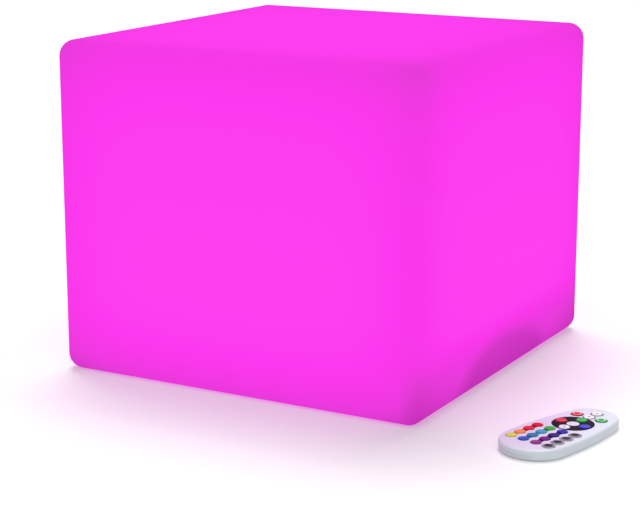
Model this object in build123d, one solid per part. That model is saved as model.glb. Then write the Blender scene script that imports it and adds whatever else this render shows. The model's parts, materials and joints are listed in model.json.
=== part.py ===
from build123d import *

import os
from math import cos, hypot, radians, sin, sqrt

# A cube-shaped garden light: a hollow moulded shell lit by a sealed engine in its base, and its remote.
# Millimetres, +Z up. The origin is the middle of the shell's base, on the surface that it stands on.

# Shell: one rotation-moulded wall, with a round well in its base that keeps the engine off the ground.
SHELL_SIDE = 305.0
SHELL_HEIGHT = 255.0
SHELL_WALL = 3.0
SHELL_EDGE_RADIUS = 12.5
WELL_DEPTH = 24.0
WELL_GAP = 5.0  # between the engine's flange and the well's wall
WELL_MOUTH_BEVEL = 2.5
WELL_CORNER_BEVEL = 3.0
BOSS_WALL = 2.1
BOSS_ROOF = 2.0  # plastic left over the blind end of an insert's hole
HOLE_CLEARANCE = 1.5  # between the shell's hole and the engine's cup

# Battery cells set the cup's size, and the cup sets the flange, the hole and the well.
CELL_RADIUS = 9.2
CELL_LENGTH = 65.2
CELL_PITCH = 19.4
CELL_FIT = 0.2
LINK_THICKNESS = 0.3
LINK_HEIGHT = 4.6
LINK_REACH = 2.3  # past the cells' middles
CUP_ROOM = 5.0  # from the cells' corners to the cup's wall
CUP_WALL = 2.2
FLANGE_THICKNESS = 3.0
FLANGE_MARGIN = 6.0  # from the screw circle to the flange's edge
FLANGE_BEVEL = 1.0
RIM_WIDTH = 1.2
RIM_HEIGHT = 0.8

# Seal and fasteners between the engine and the shell.
GASKET_THICKNESS = 1.5
GASKET_WIDTH = 5.0
GASKET_CLEARANCE = 0.4
SCREW_COUNT = 6
SCREW_RADIUS = 2.0
SCREW_LENGTH = 10.0
SCREW_HEAD_RADIUS = 3.6
SCREW_HEAD_HEIGHT = 2.4
SCREW_HOLE_CLEARANCE = 0.25
INSERT_WALL = 0.8
INSERT_LENGTH = 7.0
THREAD_CLEARANCE = 0.1
INSERT_CLEARANCE = 0.05
PAD_WALL = 1.0  # spacer rings that stop the screws from crushing the gasket

# Driver board, under the cells.
BOARD_WIDTH = 46.0
BOARD_THICKNESS = 1.6
BOARD_STANDOFF = 8.5
BOARD_CLEARANCE = 1.8  # from the board's corners to the cup's inner ledge
POST_RADIUS = 3.2
POST_INSET = 5.0
SMALL_SCREW_RADIUS = 1.25
SMALL_SCREW_LENGTH = 6.0
SMALL_HEAD_RADIUS = 2.4
SMALL_HEAD_HEIGHT = 1.6
SMALL_HOLE_CLEARANCE = 0.15

# What is soldered to the driver board.
INDUCTOR_SIZE = 8.0
INDUCTOR_HEIGHT = 4.5
CAPACITOR_RADIUS = 4.0
CAPACITOR_HEIGHT = 8.5
POWER_PARTS_X = 10.0
INDUCTOR_Y = 8.0
CAPACITOR_Y = -9.0
CHIP_HEIGHT = 1.4
CHARGER_LENGTH = 5.0
CHARGER_WIDTH = 4.0
CHARGER_X = -4.0
CHARGER_Y = 10.0
CONTROLLER_LENGTH = 6.0
CONTROLLER_WIDTH = 8.0
CONTROLLER_X = -6.0
CONTROLLER_Y = -6.0
PLUG_HEIGHT = 5.0
PLUG_DEPTH = 5.0
PLUG_MARGIN = 1.2  # beside the lead, on either side
PLUG_INSET = 4.0  # from the board's edge to the battery plug's middle

# Push button and its switch, off the middle of the flange.
BUTTON_X = -15.0
BUTTON_RADIUS = 7.0
BUTTON_PROUD = 1.2
BUTTON_CLEARANCE = 0.3
BUTTON_BEVEL = 0.8
BUTTON_TRAVEL = 0.5
COLLAR_STEP = 1.5  # how far the button's own flange reaches under the housing
COLLAR_WALL = 1.5
COLLAR_THICKNESS = 1.0
SEAL_THICKNESS = 0.6
STEM_RADIUS = 2.5
STEM_CLEARANCE = 0.3
SWITCH_SIZE = 6.0
SWITCH_HEIGHT = 3.5
PLUNGER_RADIUS = 1.7
PLUNGER_PROUD = 1.0
PLUNGER_DEPTH = 1.4

# Charging socket and the flap over it, on the flange's other side.
SOCKET_X = 13.0
SOCKET_BODY_WIDTH = 9.0
SOCKET_BODY_LENGTH = 12.0
SOCKET_NOSE_RADIUS = 4.4
SOCKET_NOSE_CLEARANCE = 0.3
SOCKET_RECESS = 1.0
SOCKET_BORE_RADIUS = 3.15
SOCKET_BORE_DEPTH = 9.0
SOCKET_PIN_RADIUS = 1.05
SOCKET_PIN_RECESS = 2.0
FLAP_RADIUS = 6.5
FLAP_THICKNESS = 1.8
FLAP_GAP = 0.2  # from the flap to the flange above it
FLAP_PLUG_RADIUS = 2.6
FLAP_PLUG_DEPTH = 1.4
STRAP_WIDTH = 5.0
STRAP_THICKNESS = 1.4
STRAP_REACH = 14.0  # from the socket to the strap's fixed end
STRAP_SPLIT = 0.4
ANCHOR_RADIUS = 4.0
ANCHOR_STEM_RADIUS = 1.8
ANCHOR_HEAD_RADIUS = 3.0
ANCHOR_HEAD_HEIGHT = 1.2
ANCHOR_CLEARANCE = 0.1

# Charge lamp: a light pipe from the driver board to the flange's underside.
LENS_Y = -14.0
LENS_RADIUS = 1.5
LENS_HEAD_RADIUS = 2.4
LENS_HEAD_HEIGHT = 0.5
LENS_CLEARANCE = 0.1
LAMP_HEIGHT = 0.8
LAMP_SIZE = 1.6

# Tray for the cells, and the LED board on its pillars.
DRIVER_HEADROOM = 10.5
LEDGE_WIDTH = 2.0
TRAY_THICKNESS = 2.0
TRAY_CLEARANCE = 0.3
SADDLE_WIDTH = 2.5
SADDLE_SPAN = 40.0
STOP_HEIGHT = 5.0
STOP_THICKNESS = 1.6
PILLAR_RADIUS = 3.0
HEAD_GAP = 0.8  # from the LED board's screw heads to the dome's wall
PILLAR_COUNT = 4
CELL_HEADROOM = 1.2
LED_BOARD_THICKNESS = 1.6
LED_SIZE = 5.0
LED_HEIGHT = 1.6
LED_OUTER_COUNT = 12
LED_OUTER_CIRCLE = 27.0
LED_INNER_COUNT = 6
LED_INNER_CIRCLE = 15.0
RECEIVER_SIZE = 5.4
RECEIVER_HEIGHT = 6.5
RECEIVER_LENS_RADIUS = 2.5
RECEIVER_LENS_BEVEL = 1.2
SPIGOT_DEPTH = 0.4
SPIGOT_CLEARANCE = 0.2
DOME_LIP = 2.0
DOME_HEIGHT = 14.0
DOME_TAPER = 5.0  # how much narrower the cover is at its top
DOME_WALL = 1.5
DOME_INSET = 4.5  # from the cup's outside to the foot of the dome

# Leads inside the cup.
TWIN_WIDTH = 3.2
TWIN_THICKNESS = 1.6
TWIN_REACH = 4.0
RIBBON_WIDTH = 7.0
RIBBON_THICKNESS = 1.2
RIBBON_X = -27.0
RIBBON_JOG = 4.0
LEAD_SLOT_CLEARANCE = 0.8
LEAD_BEND_SHARE = 0.45

# Remote: an egg-shaped case in two halves, which lies beside the light.
# Its own origin is the middle of its ring of four keys, with +Y to its lamp end.
REMOTE_X = 249.0
REMOTE_Y = -104.0
REMOTE_TURN = -15.0
REMOTE_LENGTH = 108.0
REMOTE_TOP = 40.5  # from the ring's middle to the lamp end
REMOTE_THICKNESS = 8.0
TOP_END_RADIUS = 19.5
BOTTOM_END_RADIUS = 25.0
SIDE_RADIUS = 274.0
CASE_WALL = 1.2
CASE_SPLIT = 4.0
CASE_TOP_RADIUS = 1.6
CASE_BOTTOM_BEVEL = 1.4
LIP_HEIGHT = 0.8
LIP_CLEARANCE = 0.1

# Keys.
KEY_RADIUS = 3.8
KEY_CLEARANCE = 0.25
KEY_PROUD = 0.6
KEY_TRAVEL = 0.4
KEY_OVERTRAVEL = 0.05
RING_KEY_CIRCLE = 10.0
POWER_KEY_X = 10.3
POWER_KEY_Y = 18.7
BRIGHTER_KEY_Y = 28.0
GRID_DROP = 9.2  # from the ring's lowest key to the first row
GRID_PITCH_X = 10.6
GRID_PITCH_Y = 9.8
GRID_COLUMNS = 4
GRID_ROWS = 4

# Inside the remote.
MAT_THICKNESS = 0.8
CIRCUIT_THICKNESS = 0.8
CIRCUIT_CLEARANCE = 0.6
REMOTE_CHIP_SIZE = 7.0
REMOTE_CHIP_HEIGHT = 1.0
REMOTE_CHIP_Y = 14.0
CASE_POST_RADIUS = 1.8
UPPER_POST_X = 15.0
UPPER_POST_Y = 24.0
LOWER_POST_X = 19.0
LOWER_POST_Y = -30.0
CASE_SCREW_RADIUS = 1.0
CASE_SCREW_HEAD_RADIUS = 2.0
CASE_SCREW_HEAD_HEIGHT = 1.2
CASE_SCREW_DEPTH = 0.3
CASE_PILLAR_WALL = 1.4
CASE_BOSS_WALL = 1.3
CASE_BOSS_CLEARANCE = 0.3
EMITTER_RADIUS = 1.5
EMITTER_LENGTH = 5.0
EMITTER_CLEARANCE = 0.15

# Coin cell, and the drawer that carries it out of the case's end.
COIN_RADIUS = 10.0
COIN_THICKNESS = 2.5
COIN_FIT = 0.2
DRAWER_WIDTH = 26.0
DRAWER_DEPTH = 26.0
DRAWER_FLOOR = 0.25
DRAWER_LEDGE = 1.2
DRAWER_CLEARANCE = 0.15
DRAWER_COIN_INSET = 13.6  # from the case's end to the coin's middle
CONTACT_THICKNESS = 0.15
CONTACT_WIDTH = 4.0
CONTACT_LENGTH = 12.0
CONTACT_GAP = 0.1

# Heights in the engine, from the well's roof down and up.
flange_top = WELL_DEPTH - GASKET_THICKNESS
flange_bottom = flange_top - FLANGE_THICKNESS
board_bottom = flange_top + BOARD_STANDOFF
board_top = board_bottom + BOARD_THICKNESS
plug_top = board_top + PLUG_HEIGHT
tray_bottom = board_top + DRIVER_HEADROOM
tray_top = tray_bottom + TRAY_THICKNESS
cell_axis = tray_top + CELL_FIT + CELL_RADIUS
link_middle = cell_axis + LINK_HEIGHT / 2
led_board_bottom = cell_axis + CELL_RADIUS + CELL_HEADROOM
led_board_top = led_board_bottom + LED_BOARD_THICKNESS
cup_top = led_board_top + SPIGOT_DEPTH

# Radii in the engine, from the cells outwards.
cup_inner = hypot(CELL_LENGTH / 2 + LINK_THICKNESS, CELL_PITCH / 2 + CELL_RADIUS) + CUP_ROOM
cup_outer = cup_inner + CUP_WALL
dome_foot = cup_outer - DOME_INSET
pillar_circle = dome_foot - DOME_WALL - HEAD_GAP - SMALL_HEAD_RADIUS
ledge_inner = cup_inner - LEDGE_WIDTH
hole_radius = cup_outer + HOLE_CLEARANCE
gasket_inner = hole_radius + GASKET_CLEARANCE
gasket_outer = gasket_inner + GASKET_WIDTH
insert_bore = SCREW_RADIUS + THREAD_CLEARANCE
insert_outer = insert_bore + INSERT_WALL
screw_hole = SCREW_RADIUS + SCREW_HOLE_CLEARANCE
pad_radius = screw_hole + PAD_WALL
screw_circle = gasket_outer + GASKET_CLEARANCE + pad_radius
flange_radius = screw_circle + FLANGE_MARGIN
well_radius = flange_radius + WELL_GAP
board_length = 2 * sqrt((ledge_inner - BOARD_CLEARANCE) ** 2 - (BOARD_WIDTH / 2) ** 2)

# Heights in the remote.
face_height = REMOTE_THICKNESS
roof_height = face_height - CASE_WALL
drawer_floor = CASE_WALL
drawer_height = COIN_THICKNESS + DRAWER_FLOOR + DRAWER_CLEARANCE
circuit_bottom = drawer_floor + drawer_height + DRAWER_CLEARANCE + CONTACT_THICKNESS
circuit_top = circuit_bottom + CIRCUIT_THICKNESS
mat_top = circuit_top + MAT_THICKNESS
key_bottom = mat_top + KEY_TRAVEL + KEY_OVERTRAVEL
drawer_end = REMOTE_TOP - REMOTE_LENGTH
drawer_back = drawer_end + DRAWER_DEPTH
coin_y = drawer_end + DRAWER_COIN_INSET
grid_top = -(RING_KEY_CIRCLE + GRID_DROP)

remote_place = Pos(REMOTE_X, REMOTE_Y, 0) * Rot(0, 0, REMOTE_TURN)
written = []


def disc(radius, height, z, x=0.0, y=0.0):
    """An upright cylinder whose foot is at height z."""
    return Pos(x, y, z) * Cylinder(radius, height, align=(Align.CENTER, Align.CENTER, Align.MIN))


def ring(outer, inner, height, z, x=0.0, y=0.0):
    """An upright tube whose foot is at height z."""
    return disc(outer, height, z, x, y) - disc(inner, height, z, x, y)


def slab(length, width, height, z, x=0.0, y=0.0):
    """An upright box, length along X and width along Y, whose foot is at height z."""
    return Pos(x, y, z) * Box(length, width, height, align=(Align.CENTER, Align.CENTER, Align.MIN))


def around(count, radius, first=0.0):
    """Points evenly spaced on a circle, from the angle first in degrees."""
    angles = [radians(first + 360.0 * i / count) for i in range(count)]
    return [(radius * cos(a), radius * sin(a)) for a in angles]


def pillars():
    """Where the LED board's four pillars stand."""
    return around(PILLAR_COUNT, pillar_circle, 180 / PILLAR_COUNT)


def corners(half_x, half_y):
    """The four corners of a rectangle round the origin."""
    return [(sx * half_x, sy * half_y) for sx in (-1, 1) for sy in (-1, 1)]


def edges_at(body, z):
    """The edges of a body that lie flat at height z."""
    return body.edges().filter_by_position(Axis.Z, z - 0.01, z + 0.01)


def write(name, *pieces):
    """Writes one node: each piece is a separate solid of it."""
    solids = [solid for piece in pieces for solid in piece.solids()]
    export_step(Compound(children=solids), f"parts/{name}.step")
    written.append(name)


def write_remote(name, *pieces):
    """Writes one node of the remote, laid down where the remote lies."""
    write(name, *[remote_place * piece for piece in pieces])


def rounded_block(side, height, z, radius):
    """A square block with every edge rounded."""
    block = slab(side, side, height, z)
    return fillet(block.edges(), radius)


def bevelled_plug(radius, height, z, bevel):
    """An upright cylinder with its top edge bevelled."""
    plug = disc(radius, height, z)
    return chamfer(edges_at(plug, z + height), bevel)


def screw(radius, length, head_radius, head_height, seat, x, y, down=True):
    """A plain screw with its head's bearing face at height seat, pointing down or up."""
    if down:
        return disc(head_radius, head_height, seat, x, y) + disc(radius, length, seat - length, x, y)
    return disc(head_radius, head_height, seat - head_height, x, y) + disc(radius, length, seat, x, y)


def cube_shell():
    """The hollow shell: a block less its cavity, with the well's walls and the inserts' bosses left in."""
    boss_height = INSERT_LENGTH + BOSS_ROOF
    cavity = rounded_block(
        SHELL_SIDE - 2 * SHELL_WALL,
        SHELL_HEIGHT - 2 * SHELL_WALL,
        SHELL_WALL,
        SHELL_EDGE_RADIUS - SHELL_WALL,
    )
    well_wall = well_radius + SHELL_WALL
    cavity -= bevelled_plug(well_wall, WELL_DEPTH + SHELL_WALL, 0, WELL_CORNER_BEVEL + SHELL_WALL / 2)
    for x, y in around(SCREW_COUNT, screw_circle):
        cavity -= disc(insert_outer + BOSS_WALL, boss_height, WELL_DEPTH, x, y)
    shell = rounded_block(SHELL_SIDE, SHELL_HEIGHT, 0, SHELL_EDGE_RADIUS) - cavity
    shell -= bevelled_plug(well_radius, WELL_DEPTH, 0, WELL_CORNER_BEVEL)
    mouth = edges_at(shell, 0).filter_by(GeomType.CIRCLE)
    shell = chamfer(mouth, WELL_MOUTH_BEVEL)
    shell -= disc(hole_radius, 2 * SHELL_WALL, WELL_DEPTH - SHELL_WALL)
    for x, y in around(SCREW_COUNT, screw_circle):
        shell -= disc(insert_outer + INSERT_CLEARANCE, INSERT_LENGTH, WELL_DEPTH, x, y)
    return shell


def engine_housing():
    """The engine's cup and flange, moulded in one, with posts, pads and openings for what it carries."""
    body = disc(flange_radius, FLANGE_THICKNESS, flange_bottom)
    body = chamfer(edges_at(body, flange_bottom), FLANGE_BEVEL)
    rim_radius = flange_radius - FLANGE_BEVEL
    body += ring(rim_radius, rim_radius - RIM_WIDTH, RIM_HEIGHT, flange_bottom - RIM_HEIGHT)
    body += ring(cup_outer, cup_inner, cup_top - flange_top, flange_top)
    body += ring(cup_inner, ledge_inner, tray_bottom - flange_top, flange_top)
    for x, y in around(SCREW_COUNT, screw_circle):
        body += disc(pad_radius, GASKET_THICKNESS, flange_top, x, y)
        body -= disc(screw_hole, FLANGE_THICKNESS + GASKET_THICKNESS, flange_bottom, x, y)
    for x, y in corners(board_length / 2 - POST_INSET, BOARD_WIDTH / 2 - POST_INSET):
        body += disc(POST_RADIUS, BOARD_STANDOFF, flange_top, x, y)
        body -= disc(SMALL_SCREW_RADIUS + SMALL_HOLE_CLEARANCE, BOARD_STANDOFF, flange_top, x, y)
    guide = BUTTON_RADIUS + COLLAR_STEP + BUTTON_CLEARANCE
    body += ring(guide + COLLAR_WALL, guide, seal_bottom() - flange_top, flange_top, BUTTON_X)
    body -= disc(BUTTON_RADIUS + BUTTON_CLEARANCE, FLANGE_THICKNESS, flange_bottom, BUTTON_X)
    body -= disc(SOCKET_NOSE_RADIUS + SOCKET_NOSE_CLEARANCE, FLANGE_THICKNESS, flange_bottom, SOCKET_X)
    body -= disc(ANCHOR_STEM_RADIUS + ANCHOR_CLEARANCE, FLANGE_THICKNESS, flange_bottom, anchor_x())
    body -= disc(LENS_RADIUS + LENS_CLEARANCE, FLANGE_THICKNESS, flange_bottom, 0, LENS_Y)
    return body


def seal_bottom():
    """Height of the button's seal: over the button's own flange at the top of its travel."""
    return flange_top + COLLAR_THICKNESS + BUTTON_TRAVEL + 2 * BUTTON_CLEARANCE


def switch_bottom():
    """Height of the switch's face, which looks down."""
    return board_bottom - SWITCH_HEIGHT


def anchor_x():
    """Where the flap's strap is fixed."""
    return SOCKET_X + STRAP_REACH


def power_button():
    """The button: a cap through the housing, a collar that keeps it in, and a stem to the switch."""
    bottom = flange_bottom - BUTTON_PROUD
    collar = flange_top + BUTTON_CLEARANCE
    stem_top = switch_bottom() - PLUNGER_PROUD
    cap = disc(BUTTON_RADIUS, collar - bottom, bottom, BUTTON_X)
    cap = chamfer(edges_at(cap, bottom), BUTTON_BEVEL)
    cap += disc(BUTTON_RADIUS + COLLAR_STEP, COLLAR_THICKNESS, collar, BUTTON_X)
    return cap + disc(STEM_RADIUS, stem_top - collar, collar, BUTTON_X)


def switch_body():
    """The switch's square case, with the well that its plunger slides in."""
    well = PLUNGER_DEPTH + BUTTON_TRAVEL + STEM_CLEARANCE
    case = slab(SWITCH_SIZE, SWITCH_SIZE, SWITCH_HEIGHT, switch_bottom(), BUTTON_X)
    return case - disc(PLUNGER_RADIUS + STEM_CLEARANCE, well, switch_bottom(), BUTTON_X)


def charging_socket():
    """A round barrel socket under the board, its mouth a little inside the flange, with its centre pin."""
    mouth = flange_bottom + SOCKET_RECESS
    body_bottom = flange_top + SOCKET_NOSE_CLEARANCE
    body = slab(SOCKET_BODY_WIDTH, SOCKET_BODY_LENGTH, board_bottom - body_bottom, body_bottom, SOCKET_X)
    body += disc(SOCKET_NOSE_RADIUS, body_bottom - mouth, mouth, SOCKET_X)
    body -= disc(SOCKET_BORE_RADIUS, SOCKET_BORE_DEPTH, mouth, SOCKET_X)
    pin_length = SOCKET_BORE_DEPTH - SOCKET_PIN_RECESS
    return body + disc(SOCKET_PIN_RADIUS, pin_length, mouth + SOCKET_PIN_RECESS, SOCKET_X)


def port_cover():
    """The flap over the socket: a disc with a short plug, and its half of the strap."""
    top = flange_bottom - FLAP_GAP
    bottom = top - FLAP_THICKNESS
    plug_height = FLAP_GAP + SOCKET_RECESS + FLAP_PLUG_DEPTH
    hinge = hinge_x()
    strap_end = hinge - STRAP_SPLIT / 2
    flap = disc(FLAP_RADIUS, FLAP_THICKNESS, bottom, SOCKET_X)
    flap += disc(FLAP_PLUG_RADIUS, plug_height, top, SOCKET_X)
    strap = slab(strap_end - SOCKET_X, STRAP_WIDTH, STRAP_THICKNESS, bottom, (strap_end + SOCKET_X) / 2)
    return flap + strap


def hinge_x():
    """Where the strap bends, on its lower face: beside its fixed end."""
    return anchor_x() - ANCHOR_RADIUS - STRAP_SPLIT


def port_cover_anchor():
    """The strap's fixed end: a button under the flange, a stem through it and a head that holds above it."""
    bottom = flange_bottom - FLAP_GAP - FLAP_THICKNESS
    strap_start = hinge_x() + STRAP_SPLIT / 2
    x = anchor_x()
    anchor = disc(ANCHOR_RADIUS, flange_bottom - bottom, bottom, x)
    anchor += slab(x - strap_start, STRAP_WIDTH, STRAP_THICKNESS, bottom, (x + strap_start) / 2)
    anchor += disc(ANCHOR_STEM_RADIUS, FLANGE_THICKNESS, flange_bottom, x)
    return anchor + disc(ANCHOR_HEAD_RADIUS, ANCHOR_HEAD_HEIGHT, flange_top, x)


def status_lens():
    """The light pipe, with a flat head under the flange."""
    pipe_top = board_bottom - LAMP_HEIGHT - LENS_CLEARANCE
    pipe = disc(LENS_RADIUS, pipe_top - flange_bottom, flange_bottom, 0, LENS_Y)
    return pipe + disc(LENS_HEAD_RADIUS, LENS_HEAD_HEIGHT, flange_bottom - LENS_HEAD_HEIGHT, 0, LENS_Y)


def driver_parts():
    """What is soldered to the driver board: its power parts, chips, two plugs and the charge lamp."""
    inductor = slab(INDUCTOR_SIZE, INDUCTOR_SIZE, INDUCTOR_HEIGHT, board_top, POWER_PARTS_X, INDUCTOR_Y)
    capacitor = disc(CAPACITOR_RADIUS, CAPACITOR_HEIGHT, board_top, POWER_PARTS_X, CAPACITOR_Y)
    charger = slab(CHARGER_LENGTH, CHARGER_WIDTH, CHIP_HEIGHT, board_top, CHARGER_X, CHARGER_Y)
    controller = slab(
        CONTROLLER_LENGTH, CONTROLLER_WIDTH, CHIP_HEIGHT, board_top, CONTROLLER_X, CONTROLLER_Y
    )
    margins = 2 * PLUG_MARGIN
    battery_plug_y = BOARD_WIDTH / 2 - PLUG_INSET
    battery_plug = slab(TWIN_WIDTH + margins, PLUG_DEPTH, PLUG_HEIGHT, board_top, 0, battery_plug_y)
    led_plug = slab(PLUG_DEPTH, RIBBON_WIDTH + margins, PLUG_HEIGHT, board_top, RIBBON_X)
    lamp = slab(LAMP_SIZE, LAMP_SIZE, LAMP_HEIGHT, board_bottom - LAMP_HEIGHT, 0, LENS_Y)
    return [inductor, capacitor, charger, controller, battery_plug, led_plug, lamp]


def driver_board():
    """The board on its four posts, drilled for its screws."""
    board = slab(board_length, BOARD_WIDTH, BOARD_THICKNESS, board_bottom)
    for x, y in corners(board_length / 2 - POST_INSET, BOARD_WIDTH / 2 - POST_INSET):
        board -= disc(SMALL_SCREW_RADIUS + SMALL_HOLE_CLEARANCE, BOARD_THICKNESS, board_bottom, x, y)
    return board


def battery_cradle():
    """The tray on the cup's ledge: two saddles, end stops for the cells and pillars for the LED board."""
    tray = disc(cup_inner - TRAY_CLEARANCE, TRAY_THICKNESS, tray_bottom)
    saddle_length = 2 * CELL_PITCH
    for y in (-SADDLE_SPAN / 2, SADDLE_SPAN / 2):
        tray += slab(saddle_length, SADDLE_WIDTH, cell_axis - tray_top, tray_top, 0, y)
    stop_y = CELL_LENGTH / 2 + LINK_THICKNESS + CELL_FIT + STOP_THICKNESS / 2
    for y in (-stop_y, stop_y):
        tray += slab(saddle_length, STOP_THICKNESS, STOP_HEIGHT, tray_top, 0, y)
    for x in (-CELL_PITCH / 2, CELL_PITCH / 2):
        trough = Rot(90, 0, 0) * Cylinder(CELL_RADIUS + CELL_FIT, CELL_LENGTH)
        tray -= Pos(x, 0, cell_axis) * trough
    for x, y in pillars():
        tray += disc(PILLAR_RADIUS, led_board_bottom - tray_top, tray_top, x, y)
        tray -= disc(
            SMALL_SCREW_RADIUS + SMALL_HOLE_CLEARANCE,
            SMALL_SCREW_LENGTH,
            led_board_bottom - SMALL_SCREW_LENGTH,
            x,
            y,
        )
    slot = 2 * LEAD_SLOT_CLEARANCE
    tray -= slab(TWIN_WIDTH + slot, TWIN_THICKNESS + slot, TRAY_THICKNESS, tray_bottom, 0, twin_y())
    tray -= slab(RIBBON_THICKNESS + slot, RIBBON_WIDTH + slot, TRAY_THICKNESS, tray_bottom, ribbon_outer_x())
    return tray


def battery_cells():
    """Two round cells side by side, and the strip that links them at one end."""
    cell = Rot(90, 0, 0) * Cylinder(CELL_RADIUS, CELL_LENGTH)
    cells = [Pos(x, 0, cell_axis) * cell for x in (-CELL_PITCH / 2, CELL_PITCH / 2)]
    link_y = CELL_LENGTH / 2 + LINK_THICKNESS / 2
    link_width = CELL_PITCH + 2 * LINK_REACH
    links = [
        slab(link_width, LINK_THICKNESS, LINK_HEIGHT, link_middle - LINK_HEIGHT / 2, 0, y)
        for y in (-link_y, link_y)
    ]
    return cells + links


def twin_y():
    """Where the battery's lead drops past the tray."""
    return CELL_LENGTH / 2 + LINK_THICKNESS + TWIN_REACH


def ribbon_outer_x():
    """Where the LED board's lead rises past the tray."""
    return RIBBON_X - RIBBON_JOG


def flat_lead(points, across, thick, plane):
    """A flat lead along straight runs joined by tangent arcs, its section standing square to its start."""
    runs = [(Vector(*b) - Vector(*a)).length for a, b in zip(points, points[1:])]
    radii = [LEAD_BEND_SHARE * min(pair) for pair in zip(runs, runs[1:])]
    path = FilletPolyline(*points, radius=radii)
    return sweep(plane * Rectangle(across, thick), path=path)


def battery_lead():
    """From the cells' link strip over the tray's edge and down into the board's plug."""
    start_y = CELL_LENGTH / 2 + LINK_THICKNESS
    points = [(0, start_y, link_middle), (0, twin_y(), link_middle), (0, twin_y(), plug_top)]
    plane = Plane(origin=points[0], x_dir=(1, 0, 0), z_dir=(0, 1, 0))
    return flat_lead(points, TWIN_WIDTH, TWIN_THICKNESS, plane)


def led_lead():
    """From the board's plug outwards, then up past the tray to the LED board."""
    knee = plug_top + RIBBON_JOG / 2
    points = [(RIBBON_X, 0, plug_top), (RIBBON_X, 0, knee), (ribbon_outer_x(), 0, knee + RIBBON_JOG)]
    points.append((ribbon_outer_x(), 0, led_board_bottom))
    plane = Plane(origin=points[0], x_dir=(1, 0, 0), z_dir=(0, 0, 1))
    return flat_lead(points, RIBBON_THICKNESS, RIBBON_WIDTH, plane)


def led_board():
    """The round board that closes the cup's stack, drilled for its four screws."""
    board = disc(cup_inner - TRAY_CLEARANCE, LED_BOARD_THICKNESS, led_board_bottom)
    for x, y in pillars():
        board -= disc(SMALL_SCREW_RADIUS + SMALL_HOLE_CLEARANCE, LED_BOARD_THICKNESS, led_board_bottom, x, y)
    return board


def led_chips():
    """Colour LEDs in two rings round the receiver."""
    places = around(LED_OUTER_COUNT, LED_OUTER_CIRCLE) + around(LED_INNER_COUNT, LED_INNER_CIRCLE)
    return [slab(LED_SIZE, LED_SIZE, LED_HEIGHT, led_board_top, x, y) for x, y in places]


def ir_receiver():
    """The receiver's moulded body, with the lens on its top."""
    shoulder = RECEIVER_HEIGHT - RECEIVER_LENS_RADIUS
    body = slab(RECEIVER_SIZE, RECEIVER_SIZE, shoulder, led_board_top)
    lens_bottom = led_board_top + shoulder
    lens = bevelled_plug(RECEIVER_LENS_RADIUS, RECEIVER_LENS_RADIUS, lens_bottom, RECEIVER_LENS_BEVEL)
    return body + lens


def cover(shrink, height, z):
    """A tapering round block of the cover's outline, drawn in by shrink."""
    foot = dome_foot - shrink
    block = Cone(foot, foot - DOME_TAPER, height, align=(Align.CENTER, Align.CENTER, Align.MIN))
    return Pos(0, 0, z) * block


def led_dome():
    """The frosted cover: a tapering cap on a lip that closes the cup, with a spigot inside its wall."""
    lip_top = cup_top + DOME_LIP
    spigot_outer = cup_inner - SPIGOT_CLEARANCE
    dome = disc(cup_outer, DOME_LIP, cup_top) + cover(0, DOME_HEIGHT, lip_top)
    dome += disc(spigot_outer, SPIGOT_DEPTH, led_board_top)
    dome -= disc(dome_foot - DOME_WALL, SPIGOT_DEPTH + DOME_LIP, led_board_top)
    return dome - cover(DOME_WALL, DOME_HEIGHT - DOME_WALL, lip_top)


def write_engine():
    """The light: its shell and everything in its base."""
    write("cube_shell", cube_shell())
    screws = around(SCREW_COUNT, screw_circle)
    write("threaded_inserts", *[threaded_insert(x, y) for x, y in screws])
    write("base_gasket", ring(gasket_outer, gasket_inner, GASKET_THICKNESS, flange_top))
    write("engine_housing", engine_housing())
    write("engine_screws", *[engine_screw(x, y) for x, y in screws])
    write("driver_board", driver_board())
    write("driver_parts", *driver_parts())
    posts = corners(board_length / 2 - POST_INSET, BOARD_WIDTH / 2 - POST_INSET)
    write("board_screws", *[small_screw(board_top, x, y) for x, y in posts])
    write("tact_switch", switch_body())
    plunger_foot = switch_bottom() - PLUNGER_PROUD
    write("switch_plunger", disc(PLUNGER_RADIUS, PLUNGER_PROUD + PLUNGER_DEPTH, plunger_foot, BUTTON_X))
    write("power_button", power_button())
    seal_outer = BUTTON_RADIUS + COLLAR_STEP + BUTTON_CLEARANCE + COLLAR_WALL
    seal_inner = STEM_RADIUS + STEM_CLEARANCE
    write("button_seal", ring(seal_outer, seal_inner, SEAL_THICKNESS, seal_bottom(), BUTTON_X))
    write("charging_socket", charging_socket())
    write("port_cover", port_cover())
    write("port_cover_anchor", port_cover_anchor())
    write("status_lens", status_lens())
    write("battery_cradle", battery_cradle())
    write("battery_cells", *battery_cells())
    write("battery_lead", battery_lead())
    write("led_lead", led_lead())
    write("led_board", led_board())
    write("led_chips", *led_chips())
    write("led_board_screws", *[small_screw(led_board_top, x, y) for x, y in pillars()])
    write("ir_receiver", ir_receiver())
    write("led_dome", led_dome())


def threaded_insert(x, y):
    """A brass insert in one of the shell's bosses."""
    return ring(insert_outer, insert_bore, INSERT_LENGTH, WELL_DEPTH, x, y)


def engine_screw(x, y):
    """A screw that holds the engine to the shell, its head under the flange."""
    return screw(
        SCREW_RADIUS, SCREW_LENGTH, SCREW_HEAD_RADIUS, SCREW_HEAD_HEIGHT, flange_bottom, x, y, down=False
    )


def small_screw(seat, x, y):
    """A small screw that holds a board down."""
    length = SMALL_SCREW_LENGTH
    return screw(SMALL_SCREW_RADIUS, length, SMALL_HEAD_RADIUS, SMALL_HEAD_HEIGHT, seat, x, y)


def toward(start, end, length):
    """The point at a length from start on the line to end and beyond."""
    gap = hypot(end[0] - start[0], end[1] - start[1])
    return (start[0] + (end[0] - start[0]) * length / gap, start[1] + (end[1] - start[1]) * length / gap)


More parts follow.
